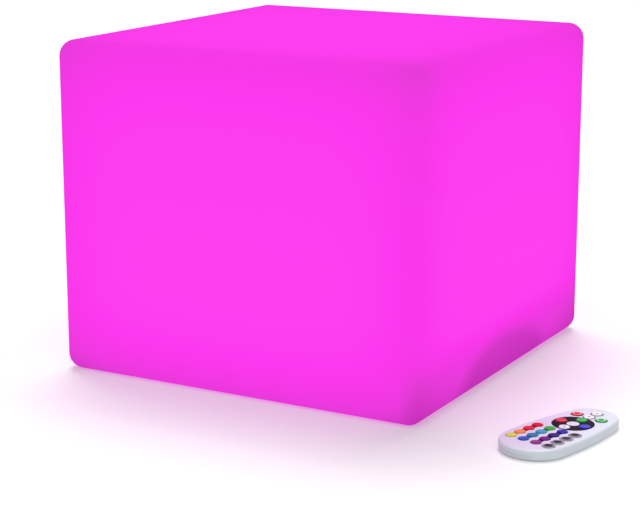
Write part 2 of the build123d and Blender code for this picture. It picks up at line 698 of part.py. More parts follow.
def egg(inset=0.0):
    """The remote's outline drawn in by inset: two round ends and two long side arcs, all tangent."""
    top_y = REMOTE_TOP - TOP_END_RADIUS
    bottom_y = REMOTE_TOP - REMOTE_LENGTH + BOTTOM_END_RADIUS
    spacing = top_y - bottom_y
    reach_top = SIDE_RADIUS - TOP_END_RADIUS
    reach_bottom = SIDE_RADIUS - BOTTOM_END_RADIUS
    drop = (reach_top**2 - reach_bottom**2 + spacing**2) / (2 * spacing)
    side_centre = (-sqrt(reach_top**2 - drop**2), top_y - drop)
    side_radius = SIDE_RADIUS - inset
    upper = toward(side_centre, (0, top_y), side_radius)
    lower = toward(side_centre, (0, bottom_y), side_radius)
    between = ((upper[0] + lower[0]) / 2, (upper[1] + lower[1]) / 2)
    widest = toward(side_centre, between, side_radius)
    right = ThreePointArc(upper, widest, lower)
    left = mirror(right, Plane.YZ)
    top = ThreePointArc((-upper[0], upper[1]), (0, REMOTE_TOP - inset), upper)
    bottom = ThreePointArc(lower, (0, REMOTE_TOP - REMOTE_LENGTH + inset), (-lower[0], lower[1]))
    return make_face(right + bottom + left + top)


def egg_block(inset, height, z):
    """The remote's outline, drawn in by inset, as an upright block."""
    return Pos(0, 0, z) * extrude(egg(inset), height)


def case_block():
    """The closed case's outer shape, with its two rims rounded."""
    block = egg_block(0, REMOTE_THICKNESS, 0)
    block = fillet(edges_at(block, REMOTE_THICKNESS), CASE_TOP_RADIUS)
    return chamfer(edges_at(block, 0), CASE_BOTTOM_BEVEL)


def case_cavity():
    """The space inside the closed case."""
    cavity = egg_block(CASE_WALL, REMOTE_THICKNESS - 2 * CASE_WALL, CASE_WALL)
    return chamfer(edges_at(cavity, CASE_WALL), CASE_BOTTOM_BEVEL / 2)


def drawer_slot(clearance):
    """The battery drawer's place in the case's end, grown by a clearance, and open to the outside."""
    width = DRAWER_WIDTH + 2 * clearance
    height = drawer_height + 2 * clearance
    length = DRAWER_DEPTH + clearance + BOTTOM_END_RADIUS
    middle = drawer_back + clearance - length / 2
    return slab(width, length, height, drawer_floor + DRAWER_CLEARANCE - clearance, 0, middle)


def emitter(radius, extra=0.0):
    """The lamp in the case's end: a short cylinder with a round nose."""
    nose_y = REMOTE_TOP - radius
    body = Rot(90, 0, 0) * Cylinder(radius, EMITTER_LENGTH + extra)
    return Pos(0, nose_y - EMITTER_LENGTH / 2 + extra / 2, CASE_SPLIT) * body


def case_screw_holes(body):
    """Cuts the case's screw hole and the recess of its head."""
    bore = CASE_SCREW_RADIUS + SMALL_HOLE_CLEARANCE
    recess = CASE_SCREW_HEAD_RADIUS + SMALL_HOLE_CLEARANCE
    body -= disc(bore, screw_tip() - CASE_SCREW_DEPTH, CASE_SCREW_DEPTH)
    return body - disc(recess, CASE_SCREW_DEPTH + CASE_SCREW_HEAD_HEIGHT, 0)


def screw_tip():
    """Height of the case screw's tip, inside the top case's boss."""
    return roof_height - CASE_WALL / 2


def remote_top_case():
    """The upper half of the case, with its boss and the holes for all keys."""
    case = (case_block() - case_cavity()) - slab(2 * REMOTE_LENGTH, 2 * REMOTE_LENGTH, CASE_SPLIT, 0)
    rabbet = egg_block(CASE_WALL / 2, LIP_HEIGHT + LIP_CLEARANCE, CASE_SPLIT)
    case -= rabbet
    boss_bottom = circuit_bottom + LIP_CLEARANCE
    case += disc(CASE_SCREW_RADIUS + CASE_BOSS_WALL, face_height - boss_bottom, boss_bottom)
    case = case_screw_holes(case)
    for x, y in key_places().values():
        case -= disc(KEY_RADIUS + KEY_CLEARANCE, 2 * CASE_WALL, roof_height - CASE_WALL / 2, x, y)
    case -= drawer_slot(DRAWER_CLEARANCE)
    return case - emitter(EMITTER_RADIUS + EMITTER_CLEARANCE, EMITTER_LENGTH)


def case_posts():
    """Where the posts under the remote's board stand: two on either side."""
    upper = [(side * UPPER_POST_X, UPPER_POST_Y) for side in (-1, 1)]
    return upper + [(side * LOWER_POST_X, LOWER_POST_Y) for side in (-1, 1)]


def remote_bottom_case():
    """The lower half of the case, with its lip, the posts under the board and the drawer's slot."""
    case = (case_block() - case_cavity()) - slab(
        2 * REMOTE_LENGTH, 2 * REMOTE_LENGTH, REMOTE_THICKNESS - CASE_SPLIT, CASE_SPLIT
    )
    lip = egg_block(CASE_WALL / 2 + LIP_CLEARANCE, LIP_HEIGHT, CASE_SPLIT) - egg_block(
        CASE_WALL, LIP_HEIGHT, CASE_SPLIT
    )
    case += lip
    for x, y in case_posts():
        case += disc(CASE_POST_RADIUS, circuit_bottom - CASE_WALL, CASE_WALL, x, y)
    case += disc(CASE_SCREW_HEAD_RADIUS + CASE_PILLAR_WALL, circuit_bottom - CASE_WALL / 2, CASE_WALL / 2)
    case = case_screw_holes(case)
    case -= drawer_slot(DRAWER_CLEARANCE)
    return case - emitter(EMITTER_RADIUS + EMITTER_CLEARANCE, EMITTER_LENGTH)


def battery_tray():
    """The drawer: its end follows the case's outside, and a round pocket holds the coin cell."""
    tray = case_block() & drawer_slot(0)
    floor = drawer_floor + DRAWER_CLEARANCE
    tray -= disc(COIN_RADIUS + COIN_FIT, drawer_height, floor + DRAWER_FLOOR, 0, coin_y)
    return tray - disc(COIN_RADIUS - DRAWER_LEDGE, drawer_height, floor, 0, coin_y)


def battery_contacts():
    """Two spring strips: one over the coin, one beside its rim behind the drawer."""
    over_z = circuit_bottom - CONTACT_THICKNESS
    over_y = drawer_back - CONTACT_LENGTH / 2
    over = slab(CONTACT_WIDTH, CONTACT_LENGTH, CONTACT_THICKNESS, over_z, 0, over_y)
    behind_y = drawer_back + DRAWER_CLEARANCE + CONTACT_GAP + CONTACT_THICKNESS / 2
    behind_z = drawer_floor + DRAWER_CLEARANCE
    behind_x = COIN_RADIUS - CONTACT_WIDTH / 2
    behind = slab(CONTACT_WIDTH, CONTACT_THICKNESS, circuit_bottom - behind_z, behind_z, behind_x, behind_y)
    return [over, behind]


def lamp_notch(height, z):
    """The notch round the case's lamp, in what lies under the keys."""
    width = 2 * (EMITTER_RADIUS + EMITTER_CLEARANCE + CASE_BOSS_CLEARANCE)
    return slab(width, 2 * EMITTER_LENGTH, height, z, 0, REMOTE_TOP - EMITTER_RADIUS)


def remote_board():
    """The key circuit: a board in the case's outline, with its chip on its underside."""
    board = egg_block(CASE_WALL + CIRCUIT_CLEARANCE, CIRCUIT_THICKNESS, circuit_bottom)
    hole = CASE_SCREW_RADIUS + CASE_BOSS_WALL + CASE_BOSS_CLEARANCE
    board -= disc(hole, CIRCUIT_THICKNESS, circuit_bottom)
    board -= lamp_notch(CIRCUIT_THICKNESS, circuit_bottom)
    chip_bottom = circuit_bottom - REMOTE_CHIP_HEIGHT
    chip = slab(REMOTE_CHIP_SIZE, REMOTE_CHIP_SIZE, REMOTE_CHIP_HEIGHT, chip_bottom, 0, REMOTE_CHIP_Y)
    return [board, chip]


def keypad_mat():
    """The silicone sheet over the board, cut back round the lamp and the case's boss."""
    mat = egg_block(CASE_WALL + CIRCUIT_CLEARANCE, MAT_THICKNESS, circuit_top)
    mat -= disc(CASE_SCREW_RADIUS + CASE_BOSS_WALL + CASE_BOSS_CLEARANCE, MAT_THICKNESS, circuit_top)
    return mat - lamp_notch(MAT_THICKNESS, circuit_top)


def key_places():
    """Where each key stands on the remote's face, by the name of its node."""
    places = {
        "key_brighter": (0.0, BRIGHTER_KEY_Y),
        "key_dimmer": (0.0, POWER_KEY_Y),
        "key_power_off": (-POWER_KEY_X, POWER_KEY_Y),
        "key_power_on": (POWER_KEY_X, POWER_KEY_Y),
    }
    ring_names = ("key_blue", "key_green", "key_red", "key_white")
    places.update(zip(ring_names, around(len(ring_names), RING_KEY_CIRCLE)))
    for column in range(GRID_COLUMNS):
        for row in range(GRID_ROWS):
            x = (column - (GRID_COLUMNS - 1) / 2) * GRID_PITCH_X
            y = grid_top - row * GRID_PITCH_Y
            number = column * GRID_ROWS + row + 1
            last = column == GRID_COLUMNS - 1
            name = f"key_mode_{row + 1}" if last else f"key_colour_{number:02d}"
            places[name] = (x, y)
    return places


def key(x, y):
    """A round key that stands a little proud of the face."""
    return disc(KEY_RADIUS, face_height + KEY_PROUD - key_bottom, key_bottom, x, y)


def case_screw():
    """The screw that closes the case from below."""
    seat = CASE_SCREW_DEPTH + CASE_SCREW_HEAD_HEIGHT
    length = screw_tip() - seat - SMALL_HOLE_CLEARANCE
    return screw(
        CASE_SCREW_RADIUS, length, CASE_SCREW_HEAD_RADIUS, CASE_SCREW_HEAD_HEIGHT, seat, 0, 0, down=False
    )


def write_hand_remote():
    """The remote: its case, its inside and its twenty-four keys."""
    write_remote("remote_top_case", remote_top_case())
    write_remote("remote_bottom_case", remote_bottom_case())
    write_remote("remote_screw", case_screw())
    write_remote("keypad_mat", keypad_mat())
    write_remote("remote_board", *remote_board())
    write_remote("ir_emitter", emitter(EMITTER_RADIUS))
    write_remote("battery_contacts", *battery_contacts())
    write_remote("battery_tray", battery_tray())
    coin_z = drawer_floor + DRAWER_CLEARANCE + DRAWER_FLOOR
    write_remote("coin_cell", disc(COIN_RADIUS, COIN_THICKNESS, coin_z, 0, coin_y))
    for name, (x, y) in key_places().items():
        write_remote(name, key(x, y))


os.makedirs("parts", exist_ok=True)
write_engine()
write_hand_remote()
print(len(written), "nodes written")
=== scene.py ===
"""The looks of a glowing cube light and its hand remote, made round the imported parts.

Lengths are metres in the parts' own frame: +Z up, the origin in the middle of the cube's base.
"""

import json
import logging
import math
from dataclasses import dataclass, field
from enum import Enum
from typing import ClassVar, Sequence, Union

import bmesh
import bpy
from mathutils import Matrix, Vector


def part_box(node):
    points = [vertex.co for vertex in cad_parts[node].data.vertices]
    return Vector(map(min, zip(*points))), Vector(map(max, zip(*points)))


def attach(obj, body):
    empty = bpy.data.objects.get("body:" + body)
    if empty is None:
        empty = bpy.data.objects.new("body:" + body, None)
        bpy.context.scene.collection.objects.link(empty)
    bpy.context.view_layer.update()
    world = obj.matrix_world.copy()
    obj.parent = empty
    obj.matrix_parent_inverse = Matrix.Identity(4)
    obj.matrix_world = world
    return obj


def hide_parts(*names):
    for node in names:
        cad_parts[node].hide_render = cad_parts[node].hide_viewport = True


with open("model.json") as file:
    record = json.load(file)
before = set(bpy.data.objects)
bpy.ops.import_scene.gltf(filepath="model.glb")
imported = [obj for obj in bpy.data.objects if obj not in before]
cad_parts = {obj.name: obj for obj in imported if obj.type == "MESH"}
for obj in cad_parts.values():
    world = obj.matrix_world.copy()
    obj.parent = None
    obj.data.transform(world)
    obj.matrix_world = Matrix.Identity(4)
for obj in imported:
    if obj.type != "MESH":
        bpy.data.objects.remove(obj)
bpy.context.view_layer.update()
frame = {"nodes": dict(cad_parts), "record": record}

MM = 0.001
SMOOTH_ANGLE = math.radians(35)
WELD = 1e-7  # how near two points are to be one
KEY_MAP = "key_face"  # the keys' own UV map: a key's middle is 0, 0 and its rim 1 away
UP = Vector((0, 0, 1))
ZEROS = (0.0, 0.0, 0.0)
ONES = (1.0, 1.0, 1.0)
WHITE = (1.0, 1.0, 1.0, 1.0)
log = logging.getLogger("cube_light")

Colour = tuple[float, float, float, float]
Stops = Sequence[tuple[float, str]]
Profile = Sequence[tuple[float, float]]
Tree = bpy.types.NodeTree
Node = bpy.types.Node
Socket = bpy.types.NodeSocket
Element = Union[bmesh.types.BMVert, bmesh.types.BMEdge]
Inputs = dict[Union[int, str], Union[float, Sequence[float], Node, Socket]]


def linear(code: str) -> Colour:
    """Turns an sRGB hex colour into a linear one.

    Args:
        code: the colour as "#RRGGBB".

    Returns:
        Linear red, green, blue and an alpha of 1.
    """
    parts = [int(code[i : i + 2], 16) / 255 for i in (1, 3, 5)]
    red, green, blue = (c / 12.92 if c <= 0.04045 else ((c + 0.055) / 1.055) ** 2.4 for c in parts)
    return red, green, blue, 1.0


def shade_of(code: str, share: float) -> str:
    """The same hex colour, darker by a share of its value."""
    return "#" + "".join(f"{round(int(code[i : i + 2], 16) * (1 - share)):02X}" for i in (1, 3, 5))


def add_node(tree: Tree, kind: str, inputs: Inputs, stops: Stops = (), **settings: str) -> Node:
    """Adds one node with its settings, values and links.

    Args:
        tree: the node tree that gets it.
        kind: the node's type, less the word ShaderNode before it.
        inputs: for each input, by name or number, a value, a socket, or a node whose first output feeds it.
        stops: a colour ramp's colours, each with the number at which it stands.
        settings: the node's own properties.

    Returns:
        The new node.
    """
    node = tree.nodes.new(f"ShaderNode{kind}")
    for name, value in settings.items():
        setattr(node, name, value)
    for key, value in inputs.items():
        source = value.outputs[0] if isinstance(value, Node) else value
        if isinstance(source, Socket):
            tree.links.new(source, node.inputs[key])
        else:
            node.inputs[key].default_value = source
    for number, (position, code) in enumerate(stops):
        elements = node.color_ramp.elements
        element = elements[number] if number < len(elements) else elements.new(position)
        element.position, element.color = position, linear(code)
    return node


def fresh_tree(owner: Union[bpy.types.Material, bpy.types.World]) -> Tree:
    """Gives a material or a world an empty node tree.

    Args:
        owner: the material or world.

    Returns:
        Its node tree.
    """
    owner.use_nodes = True
    owner.node_tree.nodes.clear()
    return owner.node_tree


@dataclass(frozen=True)
class Finish:
    """What all finishes share: a name, a Principled shader, and two patterns that many of them use."""

    name: str
    patch_edge: ClassVar[tuple[float, float]] = (0.35, 0.65)  # where in the noise a patch fades

    def sockets(self, tree: Tree, place: Socket) -> Inputs:
        """The shader's inputs: each finish gives its own.

        Args:
            tree: the material's node tree.
            place: the Object coordinates.

        Returns:
            What goes into the shader's sockets.
        """
        raise NotImplementedError

    def skin(self, tree: Tree, place: Socket, grain: float, depth: float) -> Node:
        """Fine bumps in the surface.

        Args:
            tree: the material's node tree.
            place: the coordinates that they lie on.
            grain: how wide a bump is.
            depth: how high it is.

        Returns:
            The node that gives the normal.
        """
        noise = add_node(tree, "TexNoise", {"Vector": place, "Scale": 1 / grain, "Detail": 3.0})
        return add_node(tree, "Bump", {"Height": noise, "Distance": depth})

    def patches(self, tree: Tree, place: Socket, colour: str, size: float, shade: float) -> Node:
        """Soft patches in which a colour is a little darker.

        Args:
            tree: the material's node tree.
            place: the coordinates that they lie on.
            colour: the colour.
            size: how wide a patch is.
            shade: how much darker it is, as a share.

        Returns:
            The node that gives the colour.
        """
        noise = add_node(tree, "TexNoise", {"Vector": place, "Scale": 1 / size, "Detail": 2.0})
        stops = tuple(zip(self.patch_edge, (shade_of(colour, shade), colour)))
        return add_node(tree, "ValToRGB", {"Fac": noise}, stops)

    def material(self) -> bpy.types.Material:
        """The finish as a material, which is made once.

        Returns:
            The material.
        """
        known = bpy.data.materials.get(self.name)
        if known:
            return known
        made = bpy.data.materials.new(self.name)
        tree = fresh_tree(made)
        place = add_node(tree, "TexCoord", {}).outputs["Object"]
        shader = add_node(tree, "BsdfPrincipled", self.sockets(tree, place))
        add_node(tree, "OutputMaterial", {"Surface": shader})
        return made


@dataclass(frozen=True)
class GlowingPolyethylene(Finish):
    """Rotation-moulded polyethylene, lit from inside.

    The eye sees a milky matt wall with an even glow. Painted shade in the glow's colour darkens it towards
    its edges, corners, top and foot, and a painted round shadow of the engine in the base lies low on the
    +X side. Its orange-peel skin is drawn as it is, 1.6 mm wide.
    """

    low: Vector
    high: Vector
    body: str = "#2C0A28"
    # How closely the painted shade keeps to the edges, to the corners and to the top.
    edge_power: float = 7.0
    corner_power: float = 3.0
    height_power: float = 2.0
    # How far each painted shade moves the colour down the glow's ramp, where it is deepest.
    edge_fall: float = 0.22
    corner_fall: float = 0.2
    height_fall: float = 0.1
    foot_fall: float = 0.4
    side_fall: float = 0.28
    core_fall: float = 0.35
    # How high the foot's painted shade reaches, and the band's: even up to side_foot, gone at side_top.
    foot_height: float = 20 * MM
    side_foot: float = 25 * MM
    side_top: float = 55 * MM
    # The shares of the half width between which the +X side's painted shade comes in.
    side_start: float = 0.9
    side_end: float = 0.99
    # The engine's painted shadow: half its width, its height, its place along Y, and how far out it
    # starts to fade, as the square of a share.
    core_width: float = 93 * MM
    core_height: float = 43 * MM
    core_shift: float = -2 * MM
    core_start: float = 0.37
    glow: Stops = (
        (0.0, "#C431B9"),
        (0.25, "#D536C7"),
        (0.45, "#E53AD8"),
        (0.62, "#F038E2"),
        (0.78, "#F837E9"),
        (0.9, "#FD38F0"),
        (1.0, "#FF40F2"),
    )

    def sockets(self, tree: Tree, place: Socket) -> Inputs:
        """A dark magenta body, the glow with its painted shade, and the skin.

        Args:
            tree: the material's node tree.
            place: the Object coordinates.

        Returns:
            What goes into the shader's sockets.
        """
        # Painted shade: the glow's colour is darker towards the edges, corners, top and foot, and low on the
        # +X side.
        dark = self.painted_edge_shade(tree, place)
        dark = self.painted_foot_shade(tree, place, dark)
        dark = self.painted_side_shade(tree, place, dark)
        tone = add_node(tree, "Math", {0: 1.0, 1: dark}, operation="SUBTRACT")
        return {
            "Base Color": linear(self.body),
            "Emission Color": add_node(tree, "ValToRGB", {"Fac": tone}, self.glow),
            "Emission Strength": 0.97,
            "Roughness": 0.8,
            "IOR": 1.51,
            "Specular IOR Level": 0.004,
            "Normal": self.skin(tree, place, grain=1.6 * MM, depth=0.03 * MM),
        }

    def painted_edge_shade(self, tree: Tree, place: Socket) -> Node:
        """The painted shade towards the cube's edges and corners.

        Args:
            tree: the material's node tree.
            place: the Object coordinates.

        Returns:
            The node that gives the shade.
        """
        half, middle = (self.high - self.low) / 2, (self.high + self.low) / 2
        centred = add_node(tree, "VectorMath", {0: place, 1: middle}, operation="SUBTRACT")
        scaled = add_node(tree, "VectorMath", {0: centred, 1: half}, operation="DIVIDE")
        share = add_node(tree, "VectorMath", {0: scaled}, operation="ABSOLUTE")
        powers = (self.edge_power,) * 3
        steep = add_node(tree, "VectorMath", {0: share, 1: powers}, operation="POWER")
        total = add_node(tree, "VectorMath", {0: steep, 1: ONES}, operation="DOT_PRODUCT")
        edges = {0: total.outputs["Value"], 1: self.edge_fall, 2: -self.edge_fall}
        edges = add_node(tree, "Math", edges, operation="MULTIPLY_ADD")
        powers = (self.corner_power,) * 3
        steep = add_node(tree, "VectorMath", {0: share, 1: powers}, operation="POWER")
        x, y, z = add_node(tree, "SeparateXYZ", {0: steep}).outputs
        across = add_node(tree, "Math", {0: x, 1: y}, operation="MULTIPLY")
        corner = add_node(tree, "Math", {0: across, 1: z}, operation="MULTIPLY")
        total = {0: corner, 1: self.corner_fall, 2: edges}
        return add_node(tree, "Math", total, operation="MULTIPLY_ADD")

    def painted_foot_shade(self, tree: Tree, place: Socket, dark: Node) -> Node:
        """Adds the painted shade that grows with height and the one along the foot.

        Args:
            tree: the material's node tree.
            place: the Object coordinates.
            dark: the shade so far.

        Returns:
            The node that gives the shade with both.
        """
        z = add_node(tree, "SeparateXYZ", {0: place}).outputs[2]
        height = add_node(tree, "Math", {0: z, 1: self.high.z}, operation="DIVIDE")
        height = add_node(tree, "Math", {0: height, 1: self.height_power}, operation="POWER")
        depth = add_node(tree, "Math", {0: z, 1: -self.foot_height}, operation="DIVIDE")
        foot = add_node(tree, "Math", {0: depth}, operation="EXPONENT")
        for term, fall in ((height, self.height_fall), (foot, self.foot_fall)):
            dark = add_node(tree, "Math", {0: term, 1: fall, 2: dark}, operation="MULTIPLY_ADD")
        return dark

    def painted_side_shade(self, tree: Tree, place: Socket, dark: Node) -> Node:
        """Adds painted shade low on the +X side: a band along its foot, and the engine's round shade in it.

        Args:
            tree: the material's node tree.
            place: the Object coordinates.
            dark: the shade so far.

        Returns:
            The node that gives the shade with both.
        """
        # A painted shadow of the engine and a painted band along the foot, on the +X side only.
        x, _, z = add_node(tree, "SeparateXYZ", {0: place}).outputs
        ends = {0: x, 1: self.high.x * self.side_start, 2: self.high.x * self.side_end}
        side = add_node(tree, "MapRange", ends)
        bounds = {0: z, 1: self.side_foot, 2: self.side_top, 3: self.side_fall, 4: 0.0}
        band = add_node(tree, "MapRange", bounds, interpolation_type="SMOOTHSTEP")
        move = (0.0, -self.core_shift, 0.0)
        lie = add_node(tree, "VectorMath", {0: place, 1: move}, operation="ADD")
        stretch = (0.0, 1 / self.core_width, 1 / self.core_height)
        lie = add_node(tree, "VectorMath", {0: lie, 1: stretch}, operation="MULTIPLY")
        reach = add_node(tree, "VectorMath", {0: lie, 1: lie}, operation="DOT_PRODUCT")
        bounds = {0: reach.outputs["Value"], 1: self.core_start, 2: 1.0, 3: self.core_fall, 4: 0.0}
        core = add_node(tree, "MapRange", bounds, interpolation_type="SMOOTHSTEP")
        both = add_node(tree, "Math", {0: band, 1: core}, operation="ADD")
        return add_node(tree, "Math", {0: both, 1: side, 2: dark}, operation="MULTIPLY_ADD")


@dataclass(frozen=True)
class SkinnedFinish(Finish):
    """What moulded and printed finishes share: one colour in faint patches, and a fine skin."""

    colour: str
    roughness: float
    ior: float
    grain: float
    depth: float
    patch_size: ClassVar[float]
    patch_shade: ClassVar[float]
    more: ClassVar[Inputs] = {}

    def sockets(self, tree: Tree, place: Socket) -> Inputs:
        """The patches, the skin and what the kind of finish adds.

        Args:
            tree: the material's node tree.
            place: the Object coordinates.

        Returns:
            What goes into the shader's sockets.
        """
        return {
            "Base Color": self.patches(tree, place, self.colour, self.patch_size, self.patch_shade),
            "Roughness": self.roughness,
            "IOR": self.ior,
            "Normal": self.skin(tree, place, self.grain, self.depth),
            **self.more,
        }


@dataclass(frozen=True)
class MouldedPlastic(SkinnedFinish):
    """Injection-moulded plastic.

    The eye sees an even satin colour with hardly visible flow patches, and highlights softened by the skin of
    the spark-eroded tool. That skin's real grain is about 0.1 mm, too fine to show, so it is drawn coarser.
    """

    roughness: float = 0.42
    ior: float = 1.54
    grain: float = 0.6 * MM
    depth: float = 0.01 * MM
    patch_size: ClassVar[float] = 20 * MM
    patch_shade: ClassVar[float] = 0.012


@dataclass(frozen=True)
class Rubber(SkinnedFinish):
    """Moulded silicone rubber or soft PVC.

    The eye sees a matt surface with a slight sheen at its edges, and small patches where fine dust clings.
    """

    roughness: float = 0.6
    ior: float = 1.41
    grain: float = 0.4 * MM
    depth: float = 0.01 * MM
    patch_size: ClassVar[float] = 4 * MM
    patch_shade: ClassVar[float] = 0.06
    more: ClassVar[Inputs] = {"Sheen Weight": 0.15, "Sheen Roughness": 0.5}


@dataclass(frozen=True)
class RingedKey(Finish):
    """A silicone key top, printed and lacquered.

    The eye sees rings of colour about the key's middle, read from its own map, under a soft satin lacquer.
    """

    rings: Stops

    def sockets(self, tree: Tree, place: Socket) -> Inputs:
        """The rings and a soft skin.

        Args:
            tree: the material's node tree.
            place: the Object coordinates.

        Returns:
            What goes into the shader's sockets.
        """
        own = add_node(tree, "UVMap", {}, uv_map=KEY_MAP)
        reach = add_node(tree, "VectorMath", {0: own}, operation="LENGTH").outputs["Value"]
        return {
            "Base Color": add_node(tree, "ValToRGB", {"Fac": reach}, self.rings),
            "Roughness": 0.38,
            "IOR": 1.41,
            "Specular IOR Level": 0.15,
            "Normal": self.skin(tree, place, grain=0.5 * MM, depth=0.01 * MM),
        }


@dataclass(frozen=True)
class PrintedInk(SkinnedFinish):
    """Screen-printed or pad-printed ink.

    The eye sees flat matt colour with crisp outlines, a hair thicker in some places than in others.
    """

    roughness: float = 0.55
    ior: float = 1.5
    grain: float = 0.3 * MM
    depth: float = 0.004 * MM
    patch_size: ClassVar[float] = 2.5 * MM
    patch_shade: ClassVar[float] = 0.05
    more: ClassVar[Inputs] = {"Specular IOR Level": 0.06}


class Making(Enum):
    """How a metal's surface was made: how wide its marks are, and how many times finer along Z."""

    TURNED = (0.25 * MM, 9.0)
    PLATED = (0.9 * MM, 1.0)


@dataclass(frozen=True)
class Metal(Finish):
    """Turned brass, or zinc or nickel plated steel.

    The eye sees clear reflections broken up by the turning tool's fine rings, which are too close to be told
    apart and only soften them, or by the soft uneven gloss of the plating.
    """

    colour: str
    making: Making
    roughness: float = 0.32
    smoother: float = 0.08
    rougher: float = 0.1

    def sockets(self, tree: Tree, place: Socket) -> Inputs:
        """The metal's colour, and a roughness that the pattern varies.

        Args:
            tree: the material's node tree.
            place: the Object coordinates.

        Returns:
            What goes into the shader's sockets.
        """
        width, finer = self.making.value
        lie = add_node(tree, "Mapping", {"Vector": place, "Scale": (1.0, 1.0, finer)})
        noise = add_node(tree, "TexNoise", {"Vector": lie, "Scale": 1 / width, "Detail": 2.0})
        bounds = {0: noise, 3: self.roughness - self.smoother, 4: self.roughness + self.rougher}
        return {
            "Base Color": self.patches(tree, place, self.colour, size=3 * MM, shade=0.04),
            "Metallic": 1.0,
            "Roughness": add_node(tree, "MapRange", bounds),
        }


@dataclass(frozen=True)
class CircuitLacquer(Finish):
    """Solder mask over copper, on glass-fibre or aluminium board.

    The eye sees glossy lacquer with the copper tracks showing through as faint lines, 2.4 mm apart.
    """

    colour: str
    track: str
    pitch: float = 2.4 * MM
    run: float = 9.0  # how many pitches a track runs before it meets the next
    line: float = 0.16  # how wide it is, as a share of the pitch
    unevenness: float = 0.03

    def sockets(self, tree: Tree, place: Socket) -> Inputs:
        """Tracks as the joints of a brick pattern, under a clear coat.

        Args:
            tree: the material's node tree.
            place: the Object coordinates.

        Returns:
            What goes into the shader's sockets.
        """
        lines = {
            "Vector": place,
            "Color1": linear(self.colour),
            "Color2": linear(shade_of(self.colour, self.unevenness)),
            "Mortar": linear(self.track),
            "Scale": 1.0,
            "Brick Width": self.run * self.pitch,
            "Row Height": self.pitch,
            "Mortar Size": self.line * self.pitch,
            "Mortar Smooth": 0.3,
        }
        return {
            "Base Color": add_node(tree, "TexBrick", lines),
            "Roughness": 0.3,
            "IOR": 1.55,
            "Coat Weight": 0.4,
            "Coat Roughness": 0.15,
        }


@dataclass(frozen=True)
class ClearPlastic(Finish):
    """Clear acrylic or frosted polycarbonate.

    The eye sees light through it, sharp where it is polished and blurred where it is frosted.
    """

    colour: str
    frost: float
    ior: float

    def sockets(self, tree: Tree, place: Socket) -> Inputs:
        """A clear body whose frost is its roughness.

        Args:
            tree: the material's node tree.
            place: the Object coordinates.

        Returns:
            What goes into the shader's sockets.
        """
        return {
            "Base Color": self.patches(tree, place, self.colour, size=6 * MM, shade=0.03),
            "Transmission Weight": 0.75,
            "IOR": self.ior,
            "Roughness": self.frost,
        }


# Turned brass of the inserts: warm yellow metal with fine rings.
BRASS = Metal("turned_brass", "#C9A45B", Making.TURNED, 0.3)
# Zinc plated steel of the screws: pale grey metal, softly uneven.
ZINC = Metal("zinc_plated_steel", "#B9BCC0", Making.PLATED)
# Nickel plated steel of the button cell and the link strips: brighter and smoother than zinc.
NICKEL = Metal("nickel_plated_steel", "#C8CACC", Making.PLATED, 0.25)
# Plated bronze of the spring strips: yellowish metal.
SPRING = Metal("plated_spring_bronze", "#C8B070", Making.PLATED)
# Aluminium can of the capacitor: pale and fairly smooth.
CAN = Metal("drawn_aluminium_can", "#D4D6D8", Making.PLATED, 0.3)
# Moulded ABS of the engine in the base: pale grey satin.
ENGINE_ABS = MouldedPlastic("moulded_abs_engine", "#E4E6E9", 0.48)
# Moulded ABS of the power button: a shade darker and smoother than what surrounds it.
BUTTON_ABS = MouldedPlastic("moulded_abs_button", "#D9DBDE", 0.4)
# Moulded ABS of the cells' cradle: black satin.
CRADLE_ABS = MouldedPlastic("moulded_abs_cradle", "#2B2D31", 0.5)
# Moulded ABS of the remote: bluish white, from a smoother tool, so with clearer highlights.
REMOTE_ABS = MouldedPlastic("moulded_abs_remote", "#DAE4EA", 0.32, grain=0.5 * MM, depth=0.006 * MM)
# The same ABS in the remote's drawer, a shade off because it is moulded in another tool.
DRAWER_ABS = MouldedPlastic("moulded_abs_drawer", "#D3D9E0", 0.35, grain=0.5 * MM, depth=0.006 * MM)
# Moulded nylon of the socket and the switch: near black and matt.
NYLON = MouldedPlastic("moulded_nylon_black", "#1B1C1F", 0.5, 1.53)
# Moulded nylon of the plunger: dark grey.
PLUNGER_NYLON = MouldedPlastic("moulded_nylon_plunger", "#3A3B3F", 0.45, 1.53)
# Moulded nylon of the board's plugs: milky white.
PLUG_NYLON = MouldedPlastic("moulded_nylon_natural", "#E6E2D4", 0.4, 1.53)
# Transfer-moulded epoxy of the chips: black with a dull gloss.
CHIP_EPOXY = MouldedPlastic("moulded_epoxy_package", "#1B1C1F", 0.35, 1.55)
# Sintered ferrite of the inductor: dark grey and matt, like fired clay.
FERRITE = MouldedPlastic("sintered_ferrite", "#3B3D40", 0.7, 1.6)
# Epoxy that only infrared passes: glossy and almost black.
INFRARED_EPOXY = MouldedPlastic("infrared_epoxy_receiver", "#15131C", 0.2, 1.55)
# Moulded package of the LEDs: white and slightly glossy.
LED_PACKAGE = MouldedPlastic("moulded_led_package", "#F1F0EA", 0.35)
# PVC sleeve shrunk over the cells: bright blue and glossy.
SLEEVE = MouldedPlastic("pvc_shrink_sleeve", "#3E6FB0", 0.3, 1.54)
# Silicone of the gasket, the button's washer and the flap: dark grey and matt.
SEAL = Rubber("moulded_silicone_seal", "#3C3F45")
# Silicone of the keypad's sheet: light grey and matt.
MAT = Rubber("moulded_silicone_mat", "#C9CDD2")
# Silicone with phosphor over the LED's dies: yellow and glossy.
PHOSPHOR = Rubber("phosphor_silicone", "#F0D860", 0.3)
# Soft PVC of the flat leads: dark red.
LEAD = Rubber("extruded_pvc_lead", "#A3242A", 0.45, 1.54)
# Green solder mask on glass fibre: glossy, with paler tracks.
GREEN_MASK = CircuitLacquer("solder_mask_green", "#1E6B3A", "#3C8C55")
